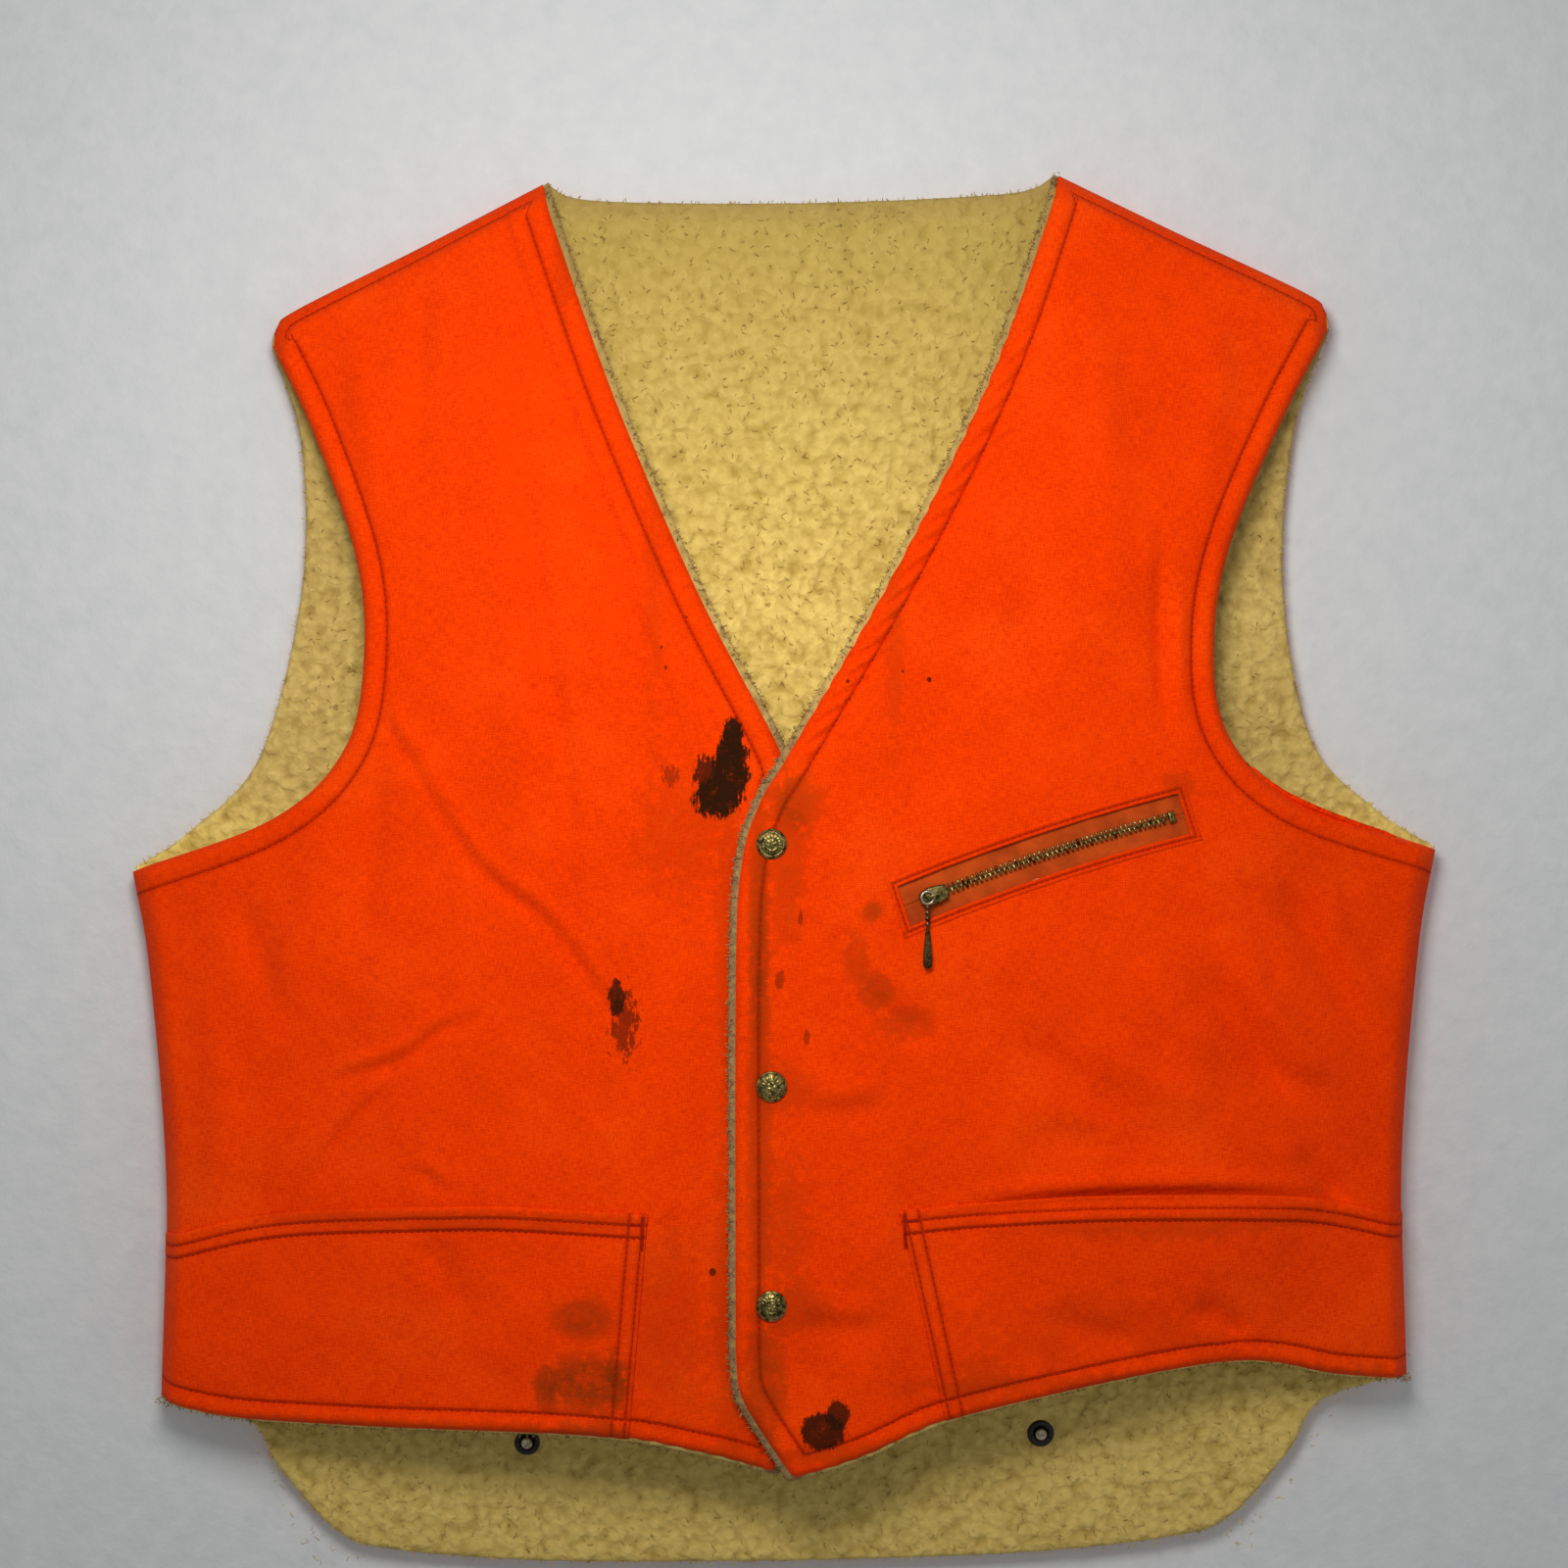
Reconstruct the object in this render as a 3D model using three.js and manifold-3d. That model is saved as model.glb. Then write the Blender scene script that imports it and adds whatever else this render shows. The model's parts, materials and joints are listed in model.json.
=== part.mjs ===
// A hunter's high visibility vest: a blaze orange cotton shell lined with sherpa pile, hanging from
// its shoulders against a wall. Millimetres, +X towards the wearer's left, +Y to the wearer's back,
// +Z up. The origin is midway between the two neck points, where a hanger carries the vest.
import * as THREE from 'three';
import { mergeVertices } from 'three/addons/utils/BufferGeometryUtils.js';
import Module from 'manifold-3d';

const wasm = await Module();
wasm.setup();

// ---- Cut of the cloth. Widths are half widths, heights are measured down from the neck points ----
const halfNeck = 131;
const halfShoulder = 269;
const shoulderDrop = 74;
const halfAcrossFront = 211;
const halfAcrossBack = 249;
const armholeDepth = 346;
const halfChest = 331;
const halfWaist = 314;
const halfHem = 316;
const sideEnd = 612;
const neckDepth = 291;
const backNeckDepth = 12;
const frontLength = 645;
const tailLength = 702;
const halfTail = 197;
const leftOverlap = 24;
const rightOverlap = 12;
const leftHemRise = 24;

// ---- How it hangs ----
const leanTop = 6.5;
const leanBottom = -2;
const leanStart = -340;
const leanEnd = -60;
const tilt = 0.017;
const frontDepth = 60;
const bulgeMargin = 4;
const bulgePower = 2.5;
const bulgeOnset = 110;

// ---- Layers, from the outside in ----
const shellThickness = 1.2;
const layerGap = 0.4;
const pileThickness = 7.9;
const backToFrontGap = 0.5;
const overlapGap = 1.5;
const gap = 0.3;

// ---- Fold that each front opens about, outer limit at the top and at the hem ----
const foldTop = 121;
const foldSlope = 0.3237;
const foldInset = 23;
const foldCut = 1;

// ---- Zip on the left chest ----
const zipX = 125.5;
const zipZ = -343.2;
const zipAngle = THREE.MathUtils.degToRad(18);
const zipWindowLength = 146;
const zipWindowWidth = 21;
const zipTapeWidth = 13.5;
const zipTapeThickness = 0.8;
const zipTapeEnds = 4;
const chainWidth = 5.7;
const chainThickness = 1.8;
const toothPitch = 3.2;
const sliderLength = 14;
const sliderWidth = 9.5;
const sliderThickness = 2;
const sliderNose = 0.72;
const sliderTail = 0.84;
const archLength = 8.4;
const archRise = 3.4;
const archWire = 1.2;
const legWidth = 1.6;
const toothRoot = 1.6;
const toothTipGap = 0.15;
const endStopLength = 4.6;
const pullLength = 38;
const pullEyeHole = 2;
const pullEyeRim = 3.6;
const pullNeck = 1.1;
const pullPaddle = 2.3;
const pullThickness = 1.2;
const zipSurfaceSlope = 0.09;
const chestPocketWidth = 150;
const chestPocketDrop = 120;
const chestPocketRise = 4;
const chestPocketThickness = 0.8;

// ---- Lower pockets ----
const pocketInnerTop = { left: 56, right: 66 };
const pocketInnerBottom = { left: 79, right: 76 };
const pocketTop = 515;
const pocketTopAtSide = 528;
const pocketThickness = 2;
const pocketGape = 12;
const pocketHemMargin = 3;
const pocketFlatFoot = 35;

// ---- Snaps ----
const snapX = -6;
const snapHeights = [-336, -453.5, -559.7];
const tailSnapX = 131;
const tailSnapZ = -640.5;
const capDiameter = 15;
const capHeight = 2.6;
const postDiameter = 3.6;
const crushedPile = 3;
const socketDiameter = 12.5;
const socketHeight = 4.4;
const knobDiameter = 7;
const knobHeight = 3;
const knobClearance = 0.8;
const flangeThickness = 1;
const tailRingDiameter = 14;
const tailRingHeight = 2.6;
const tailKnobDiameter = 6;
const tailKnobHeight = 2.2;
const tailRingDish = 0.8;
const tailCapSunk = 0.2;
const snapWellMargin = 2.75;

// ---- Fineness ----
const clothCell = 36;
const outlineSteps = 2;
const turnedSides = 14;
const pullSteps = 7;

// ---- Cutters, made to pass well beyond what they cut ----
const cutterFront = -200;
const cutterBack = 50;
const pastFace = 5;

const stackThickness = shellThickness + layerGap + pileThickness;
const sideThickness = 2 * stackThickness + backToFrontGap;
const overlapStep = (stackThickness + overlapGap) / 2;
const bulgeHalfWidth = halfChest + bulgeMargin;
const group = new THREE.Group();

// ---- Materials ----
function finish(color, roughness, metalness = 0) {
  return new THREE.MeshStandardMaterial({ color, roughness, metalness });
}
const orangeDuck = finish(0xf04a0c, 0.85);
const sherpa = finish(0xcbb170, 0.95);
const zipTapeCloth = finish(0xa8481c, 0.85);
const bagCloth = finish(0xd8c79a, 0.9);
const agedBrass = finish(0x8a7a35, 0.4, 0.9);
const blackMetal = finish(0x1c1b1a, 0.4, 0.6);

function addPiece(name, geometry, material, parent = group) {
  const mesh = new THREE.Mesh(geometry, material);
  mesh.name = name;
  parent.add(mesh);
  return mesh;
}

// ---- Solids ----
function toSolid(geometry) {
  const bare = geometry.clone();
  bare.deleteAttribute('normal');
  bare.deleteAttribute('uv');
  const merged = mergeVertices(bare, 1e-3);
  return new wasm.Manifold(
    new wasm.Mesh({
      numProp: 3,
      vertProperties: new Float32Array(merged.attributes.position.array),
      triVerts: new Uint32Array(merged.index.array),
    })
  );
}

function toGeometry(solid) {
  const mesh = solid.getMesh();
  const geometry = new THREE.BufferGeometry();
  geometry.setAttribute('position', new THREE.BufferAttribute(mesh.vertProperties, 3));
  geometry.setIndex(new THREE.BufferAttribute(mesh.triVerts, 1));
  geometry.computeVertexNormals();
  return geometry;
}

// An outline in X and Z, pushed along Y.
function prism(shape, fromY, toY, steps = outlineSteps) {
  const geometry = new THREE.ExtrudeGeometry(shape, {
    depth: toY - fromY,
    bevelEnabled: false,
    curveSegments: steps,
  });
  geometry.rotateX(Math.PI / 2);
  geometry.translate(0, toY, 0);
  return toSolid(geometry);
}

// A round bar along Y.
function roundBar(diameter, fromY, toY, x, z) {
  const geometry = new THREE.CylinderGeometry(diameter / 2, diameter / 2, toY - fromY, turnedSides);
  geometry.translate(x, (fromY + toY) / 2, z);
  return toSolid(geometry);
}

// A turned piece about Y: each point is a radius and a Y.
function turned(profile) {
  const points = profile.map(([radius, y]) => new THREE.Vector2(radius, y));
  return new THREE.LatheGeometry(points, turnedSides);
}

// ---- Hang and drape ----
function smooth(t) {
  const held = THREE.MathUtils.clamp(t, 0, 1);
  return held * held * (3 - 2 * held);
}

function lean(z) {
  return leanBottom + (leanTop - leanBottom) * smooth((z - leanStart) / (leanEnd - leanStart));
}

// From the symmetric cut to where the vest hangs, a little askew.
function hang(x, z) {
  return new THREE.Vector2(x + lean(z), z + tilt * x);
}

function unhang(x, z) {
  const cutZ = z - tilt * x;
  return [x - lean(cutZ), cutZ];
}

// How far the fronts stand forward of the wall: flat at the side seams and over the shoulders,
// and bowed out over the chest.
function reach(x, z) {
  const [cutX, cutZ] = unhang(x, z);
  const beyondNeck = Math.max(0, Math.abs(cutX) - halfNeck);
  const seam = (-beyondNeck * shoulderDrop) / (halfShoulder - halfNeck);
  const below = Math.max(0, seam - cutZ);
  const across = Math.max(0, 1 - Math.abs(cutX / bulgeHalfWidth) ** bulgePower);
  const down = 1 - Math.exp(-below / bulgeOnset);
  return sideThickness + (frontDepth - sideThickness) * across * down;
}

// The left chest is flat around the zip, so that the slider runs straight. The flat ends before
// the snaps.
const zipDepth = reach(zipX, zipZ);
const zipFlatMargin = clothCell + 4;
const zipFlatFade = 50;
const snapStrip = 20;
const snapStripFade = 32;

function zipFlatness(x, z) {
  const along = (x - zipX) * Math.cos(zipAngle) + (z - zipZ) * Math.sin(zipAngle);
  const across = (z - zipZ) * Math.cos(zipAngle) - (x - zipX) * Math.sin(zipAngle);
  const pastEnd = Math.abs(along) - zipWindowLength / 2 - zipFlatMargin;
  const pastSide = Math.abs(across) - zipWindowWidth / 2 - zipFlatMargin;
  const clearOfSnaps = smooth((x - snapX - snapStrip) / snapStripFade);
  return clearOfSnaps * (1 - smooth(Math.max(pastEnd, pastSide, 0) / zipFlatFade));
}

function leftDepth(x, z) {
  const [cutX] = unhang(x, z);
  const lifted = reach(x, z) + overlapStep * (1 - smooth((cutX - 16) / 60));
  const flat = zipDepth - zipSurfaceSlope * (x - zipX);
  return THREE.MathUtils.lerp(lifted, flat, zipFlatness(x, z));
}

function rightDepth(x, z) {
  const [cutX] = unhang(x, z);
  return reach(x, z) - overlapStep * (1 - smooth((-cutX - 32) / 60));
}

// A sheet between two faces, each a distance forward of the depth rule. The facets of its inner
// face split the other way from those of its outer face, and turning the grid swaps the two, so
// that facets that face each other across a gap can be given the same split.
function drapedSheet(side, depth, outer, inner, turnGrid) {
  const width = halfChest + leftOverlap + 2 * clothCell;
  const height = frontLength + 3 * clothCell;
  const columns = Math.round(width / clothCell);
  const rows = Math.round(height / clothCell);
  const geometry = turnGrid
    ? new THREE.BoxGeometry(height, 1, width, rows, 1, columns)
    : new THREE.BoxGeometry(width, 1, height, columns, 1, rows);
  if (turnGrid) geometry.rotateY(Math.PI / 2);
  geometry.translate(side * (width / 2 - leftOverlap - clothCell), 0, clothCell - height / 2);
  const place = geometry.attributes.position;
  for (let i = 0; i < place.count; i += 1) {
    const x = place.getX(i);
    const z = place.getZ(i);
    const forward = place.getY(i) > 0 ? inner(x, z) : outer(x, z);
    place.setY(i, -depth(x, z) - forward);
  }
  return toSolid(geometry);
}

// ---- Outlines ----
// Each stretch is a list of points that one smooth curve or one straight edge runs through.
function outline(stretches) {
  const shape = new THREE.Shape();
  const first = hang(...stretches[0][0]);
  shape.moveTo(first.x, first.y);
  for (const stretch of stretches) {
    const points = stretch.slice(1).map(([x, z]) => hang(x, z));
    if (points.length === 1) shape.lineTo(points[0].x, points[0].y);
    else shape.splineThru(points);
  }
  return shape;
}

function mirrored(stretches) {
  return stretches.map((stretch) => stretch.map(([x, z]) => [-x, z]));
}

const shoulderEdge = [
  [halfNeck, 0],
  [halfShoulder - 11, 11 - shoulderDrop],
];
const shoulderTip = [
  [halfShoulder - 11, 11 - shoulderDrop],
  [halfShoulder - 2, 3 - shoulderDrop],
  [halfShoulder - 1, -6 - shoulderDrop],
];
const sideEdge = [
  [halfChest, -armholeDepth],
  [(halfChest + halfWaist) / 2, -armholeDepth - 50],
  [halfWaist, 108 - sideEnd],
  [halfHem, -sideEnd],
];
const frontArmhole = [
  [halfShoulder - 1, -6 - shoulderDrop],
  [halfAcrossFront + 33, -126],
  [halfAcrossFront + 7, -190],
  [halfAcrossFront, 106 - armholeDepth],
  [halfAcrossFront + 8, 60 - armholeDepth],
  [halfAcrossFront + 44, 26 - armholeDepth],
  [halfChest, -armholeDepth],
];
const backArmhole = [
  [halfShoulder - 1, -6 - shoulderDrop],
  [halfAcrossBack + 3, -130],
  [halfAcrossBack, -207],
  [halfAcrossBack + 18, 57 - armholeDepth],
  [halfAcrossBack + 52, 20 - armholeDepth],
  [halfChest, -armholeDepth],
];

function frontOutline(overlap, hemRise) {
  return [
    shoulderEdge,
    shoulderTip,
    frontArmhole,
    sideEdge,
    [
      [halfHem, -sideEnd],
      [halfHem - 40, -sideEnd - 6 + 0.5 * hemRise],
      [215, -sideEnd - 8 + hemRise],
      [95, 21 - frontLength + 0.35 * hemRise],
      [8, -frontLength],
    ],
    [
      [8, -frontLength],
      [4 - overlap, 38 - frontLength],
      [-overlap, 60 - frontLength],
    ],
    [
      [-overlap, 60 - frontLength],
      [-overlap, -neckDepth - 110],
    ],
    [
      [-overlap, -neckDepth - 110],
      [3 - overlap, -neckDepth - 54],
      [12 - overlap, -neckDepth - 24],
      [2, -neckDepth],
    ],
    [
      [2, -neckDepth],
      [0.36 * halfNeck, -0.718 * neckDepth],
      [0.7 * halfNeck, -0.388 * neckDepth],
      [0.93 * halfNeck, -0.103 * neckDepth],
      [halfNeck, 0],
    ],
  ];
}

const halfBack = [
  shoulderEdge,
  shoulderTip,
  backArmhole,
  sideEdge,
  [
    [halfHem, -sideEnd],
    [halfTail + 76, -sideEnd - 13],
    [halfTail + 59, -sideEnd - 39],
    [halfTail + 30, 19 - tailLength],
    [halfTail, 9 - tailLength],
    [0.6 * halfTail, 2 - tailLength],
    [0, -tailLength],
  ],
];
const halfBackNeck = [
  [0, -backNeckDepth],
  [0.46 * halfNeck, 1 - backNeckDepth],
  [0.86 * halfNeck, 4 - backNeckDepth],
  [halfNeck, 0],
];

function backOutline() {
  const returning = mirrored(halfBack)
    .reverse()
    .map((stretch) => stretch.slice().reverse());
  const neckBack = mirrored([halfBackNeck])[0].slice().reverse();
  return outline([...halfBack, ...returning, neckBack, halfBackNeck]);
}

// ---- Fold lines ----
// A point on the line that a front hinges about, by its height.
function foldPoint(side, z) {
  return hang(side * (foldTop - foldInset - foldSlope * z), z);
}

// Everything on one side of the fold: towards the wearer's side seam or towards the centre.
function halfSpace(side, towardsSeam) {
  const top = foldPoint(side, 0);
  const foot = foldPoint(side, -sideEnd);
  const size = 2000;
  const outwards = new THREE.Vector2(top.y - foot.y, foot.x - top.x).normalize();
  if (outwards.x * side < 0) outwards.negate();
  if (!towardsSeam) outwards.negate();
  const geometry = new THREE.BoxGeometry(size, size, size);
  geometry.translate((size + foldCut) / 2, 0, 0);
  geometry.rotateY(-Math.atan2(outwards.y, outwards.x));
  geometry.translate(top.x, 0, top.y);
  return toSolid(geometry);
}

// ---- Snap places: where each snap is, and the outer face of either front there ----
function snapStack(z) {
  const place = hang(snapX, z);
  return {
    x: place.x,
    z: place.y,
    left: -leftDepth(place.x, place.y),
    right: -rightDepth(place.x, place.y),
  };
}
const frontSnaps = snapHeights.map(snapStack);
const wellDiameter = socketDiameter + 2 * snapWellMargin;
const pileStart = shellThickness + layerGap;

// Holes for the posts, and the wells where the pile is crushed under a snap.
function snapHoles(side, cloth) {
  return frontSnaps.reduce((solid, snap) => {
    const outer = snap[side];
    const inner = outer + stackThickness;
    const holeWidth = postDiameter + 2 * gap;
    const hole = roundBar(holeWidth, outer - pastFace, inner + pastFace, snap.x, snap.z);
    const wellFrom = outer + pileStart + crushedPile;
    const well = roundBar(wellDiameter, wellFrom, inner + pastFace, snap.x, snap.z);
    return solid.subtract(hole).subtract(well);
  }, cloth);
}

// ---- Back ----
const tailSnaps = [1, -1].map((side) => hang(side * tailSnapX, tailSnapZ));

function makeBack() {
  const shape = backOutline();
  let shell = prism(shape, -shellThickness, 0);
  let lining = prism(shape, -stackThickness, -pileStart);
  for (const snap of tailSnaps) {
    const innerCut = -stackThickness - pastFace;
    const capHole = roundBar(capDiameter + 2 * gap, -stackThickness, pastFace, snap.x, snap.y);
    const postHole = roundBar(postDiameter + 2 * gap, innerCut, 0, snap.x, snap.y);
    const wellWidth = tailRingDiameter + 2 * snapWellMargin;
    const well = roundBar(wellWidth, innerCut, -pileStart - crushedPile, snap.x, snap.y);
    shell = shell.subtract(capHole);
    lining = lining.subtract(postHole).subtract(well);
  }
  addPiece('back_shell', toGeometry(shell), orangeDuck);
  addPiece('back_lining', toGeometry(lining), sherpa);
}

// ---- Zip window, tapes' recess and chest pocket recess ----
const zipFrame = new THREE.Group();
zipFrame.position.set(zipX, -zipDepth, zipZ);
zipFrame.rotation.z = Math.atan(zipSurfaceSlope);
const zipRow = new THREE.Group();
zipRow.rotation.y = -zipAngle;
zipFrame.add(zipRow);
group.add(zipFrame);
group.updateMatrixWorld(true);

// A block in the zip's own frame: X along the chain, Y into the cloth, Z across the chain.
function zipBlock(length, width, fromY, toY, x = 0, z = 0) {
  const geometry = new THREE.BoxGeometry(length, toY - fromY, width);
  geometry.translate(x, (fromY + toY) / 2, z);
  return geometry;
}

function zipCutter(length, width, fromY, toY) {
  return toSolid(zipBlock(length, width, fromY, toY).applyMatrix4(zipRow.matrixWorld));
}

const tapeLength = zipWindowLength + 2 * zipTapeEnds;
const tapeFront = shellThickness + gap;
const tapeBack = tapeFront + zipTapeThickness;
const bagTop = zipWindowWidth / 2 + chestPocketRise;

function bagBlock(grow) {
  const height = bagTop + chestPocketDrop + 2 * grow;
  const fromY = tapeBack + gap - grow;
  const toY = tapeBack + gap + chestPocketThickness + grow;
  const geometry = new THREE.BoxGeometry(chestPocketWidth + 2 * grow, toY - fromY, height);
  geometry.translate(0, (fromY + toY) / 2, (bagTop - chestPocketDrop) / 2);
  return geometry;
}

// ---- Fronts ----
const flatFace = (value) => () => value;

function cutFront(name, side, cloth, material) {
  const moving = cloth.intersect(halfSpace(side, false));
  const fixed = cloth.intersect(halfSpace(side, true));
  addPiece(name, toGeometry(moving), material);
  addPiece(name.replace('front', 'side'), toGeometry(fixed), material);
}

function frontShell(side, depth, shape) {
  const sheet = drapedSheet(side, depth, flatFace(0), flatFace(-shellThickness), false);
  return sheet.intersect(prism(shape, cutterFront, cutterBack));
}

function frontLining(side, depth, shape) {
  const sheet = drapedSheet(side, depth, flatFace(-pileStart), flatFace(-stackThickness), true);
  return sheet.intersect(prism(shape, cutterFront, cutterBack));
}

function makeLeftFront() {
  const shape = outline(frontOutline(leftOverlap, leftHemRise));
  const window = zipCutter(zipWindowLength, zipWindowWidth, -pastFace, pastFace);
  const tapeRoom = zipCutter(
    tapeLength + 2 * gap,
    2 * zipTapeWidth + 4 * gap,
    -pastFace,
    tapeBack + gap
  );
  const bagRoom = toSolid(bagBlock(gap).applyMatrix4(zipFrame.matrixWorld));
  const shell = snapHoles('left', frontShell(1, leftDepth, shape));
  const lining = snapHoles('left', frontLining(1, leftDepth, shape));
  cutFront('left_front_shell', 1, shell.subtract(window), orangeDuck);
  cutFront('left_front_lining', 1, lining.subtract(tapeRoom).subtract(bagRoom), sherpa);
}

function makeRightFront() {
  const shape = outline(mirrored(frontOutline(rightOverlap, 0)));
  const shell = snapHoles('right', frontShell(-1, rightDepth, shape));
  const lining = snapHoles('right', frontLining(-1, rightDepth, shape));
  cutFront('right_front_shell', -1, shell, orangeDuck);
  cutFront('right_front_lining', -1, lining, sherpa);
}

// ---- Lower pockets ----
// A pocket lies on the shell along its sewn edges and gapes at its mouth, between its inner edge
// and the fold that the front opens about.
function pocketRise(side, x, z) {
  const [cutX, cutZ] = unhang(x, z);
  const name = side > 0 ? 'left' : 'right';
  const inner = pocketInnerBottom[name];
  const fold = foldTop - foldInset - foldSlope * cutZ;
  const across = THREE.MathUtils.clamp((side * cutX - inner) / (fold - inner), 0, 1);
  const foot = pocketFlatFoot - frontLength;
  const up = smooth((cutZ - foot) / (-pocketTop - foot));
  return layerGap + pocketGape * Math.sin(Math.PI * across) ** 2 * up;
}

function makePocket(name, side, depth, frontStretches) {
  const mirror = side > 0 ? (stretches) => stretches : mirrored;
  const patch = [
    [
      [pocketInnerTop[name], -pocketTop],
      [halfAcrossFront, -pocketTop],
      [halfChest + 20, -pocketTopAtSide - 2],
    ],
    [
      [halfChest + 20, -pocketTopAtSide - 2],
      [halfChest + 20, -frontLength],
    ],
    [
      [halfChest + 20, -frontLength],
      [pocketInnerBottom[name], -frontLength],
    ],
    [
      [pocketInnerBottom[name], -frontLength],
      [pocketInnerTop[name], -pocketTop],
    ],
  ];
  const inner = (x, z) => pocketRise(side, x, z);
  const outer = (x, z) => pocketRise(side, x, z) + pocketThickness;
  const front = prism(outline(mirror(frontStretches)), cutterFront, cutterBack);
  const aboveHem = front.translate([0, 0, pocketHemMargin]);
  const cloth = drapedSheet(side, depth, outer, inner, true)
    .intersect(prism(outline(mirror(patch)), cutterFront, cutterBack))
    .intersect(front)
    .intersect(aboveHem);
  addPiece(`${name}_lower_pocket`, toGeometry(cloth.intersect(halfSpace(side, false))), orangeDuck);
  addPiece(`${name}_pocket_side`, toGeometry(cloth.intersect(halfSpace(side, true))), orangeDuck);
}

// ---- Front snaps ----
function makeFrontSnap(snap, number) {
  const capRadius = capDiameter / 2;
  const postRadius = postDiameter / 2;
  const capFoot = snap.left - layerGap;
  const wellFloor = snap.left + pileStart + crushedPile;
  const socketBack = wellFloor + gap;
  const socketRim = socketBack + socketHeight;
  const cap = turned([
    [0, capFoot - capHeight],
    [0.45 * capRadius, capFoot - 0.93 * capHeight],
    [0.8 * capRadius, capFoot - 0.66 * capHeight],
    [capRadius, capFoot - 0.25 * capHeight],
    [capRadius, capFoot],
    [postRadius, capFoot],
    [postRadius, socketBack + flangeThickness],
    [0, socketBack + flangeThickness],
  ]);
  const cupRadius = knobDiameter / 2 + knobClearance;
  const socket = turned([
    [postRadius + gap, socketBack],
    [socketDiameter / 2, socketBack],
    [socketDiameter / 2, socketRim - 0.6],
    [socketDiameter / 2 - 0.6, socketRim],
    [cupRadius, socketRim],
    [cupRadius, socketBack + flangeThickness],
    [postRadius + gap, socketBack + flangeThickness],
    [postRadius + gap, socketBack],
  ]);
  const studFoot = snap.right - gap;
  const knobFoot = studFoot - flangeThickness;
  const knobRadius = knobDiameter / 2;
  const stud = turned([
    [0, knobFoot - knobHeight],
    [knobRadius - 0.7, knobFoot - knobHeight],
    [knobRadius, knobFoot - knobHeight + 0.9],
    [knobRadius - 0.4, knobFoot],
    [socketDiameter / 2, knobFoot],
    [socketDiameter / 2, studFoot],
    [postRadius + gap, studFoot],
    [postRadius + gap, knobFoot - knobHeight / 2],
    [0, knobFoot - knobHeight / 2],
  ]);
  const eyeletFoot = snap.right + pileStart + crushedPile + gap;
  const eyelet = turned([
    [0, knobFoot - knobHeight / 2 + gap],
    [postRadius, knobFoot - knobHeight / 2 + gap],
    [postRadius, eyeletFoot],
    [socketDiameter / 2, eyeletFoot],
    [socketDiameter / 2, eyeletFoot + flangeThickness],
    [0, eyeletFoot + flangeThickness],
  ]);
  const pieces = { cap, socket, stud, eyelet };
  for (const [kind, geometry] of Object.entries(pieces)) {
    const mesh = addPiece(`snap_${number}_${kind}`, geometry, agedBrass);
    mesh.position.set(snap.x, 0, snap.z);
  }
}

// ---- Tail snaps: a black ring stud on the pile side, its cap let into the shell at the back ----
function makeTailSnap(snap, name) {
  const postRadius = postDiameter / 2;
  const ringFoot = -pileStart - crushedPile - gap;
  const ringRadius = tailRingDiameter / 2;
  const knobRadius = tailKnobDiameter / 2;
  const ringFront = ringFoot - tailRingHeight;
  const knobFront = ringFront - tailKnobHeight;
  const dishFloor = ringFront + tailRingDish;
  const stud = turned([
    [0, knobFront],
    [knobRadius, knobFront],
    [knobRadius, ringFront + 0.6],
    [knobRadius + 1.4, ringFront],
    [ringRadius - 1.2, ringFront],
    [ringRadius, ringFront + 1.2],
    [ringRadius, ringFoot],
    [postRadius + gap, ringFoot],
    [postRadius + gap, dishFloor],
    [0, dishFloor],
  ]);
  const cap = turned([
    [0, dishFloor + gap],
    [postRadius, dishFloor + gap],
    [postRadius, -shellThickness],
    [capDiameter / 2, -shellThickness],
    [capDiameter / 2, -tailCapSunk],
    [0, -tailCapSunk],
  ]);
  const pieces = { stud: [stud, blackMetal], cap: [cap, agedBrass] };
  for (const [kind, [geometry, material]] of Object.entries(pieces)) {
    const mesh = addPiece(`tail_snap_${name}_${kind}`, geometry, material);
    mesh.position.set(snap.x, 0, snap.y);
  }
}

// ---- Zip ----
const chainFront = tapeFront - gap - chainThickness;
const chainLength = zipWindowLength - 20;
const chainStart = -zipWindowLength / 2 + 13;

// One side of the chain: a strip with teeth towards the middle, meeting the other side's gaps.
function zipComb() {
  const shape = new THREE.Shape();
  const spine = chainWidth / 2;
  const teeth = Math.floor(chainLength / toothPitch);
  shape.moveTo(0, spine);
  shape.lineTo(0, toothRoot);
  for (let i = 0; i < teeth; i += 1) {
    const from = i * toothPitch + gap;
    const to = (i + 0.5) * toothPitch - gap;
    shape.lineTo(from, toothRoot);
    shape.lineTo(from, toothTipGap);
    shape.lineTo(to, toothTipGap);
    shape.lineTo(to, toothRoot);
  }
  const end = teeth * toothPitch;
  shape.lineTo(end, toothRoot);
  shape.lineTo(end, spine);
  shape.closePath();
  const geometry = new THREE.ExtrudeGeometry(shape, { depth: chainThickness, bevelEnabled: false });
  geometry.rotateX(Math.PI / 2);
  geometry.translate(chainStart, chainFront + chainThickness, 0);
  return geometry;
}

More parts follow.
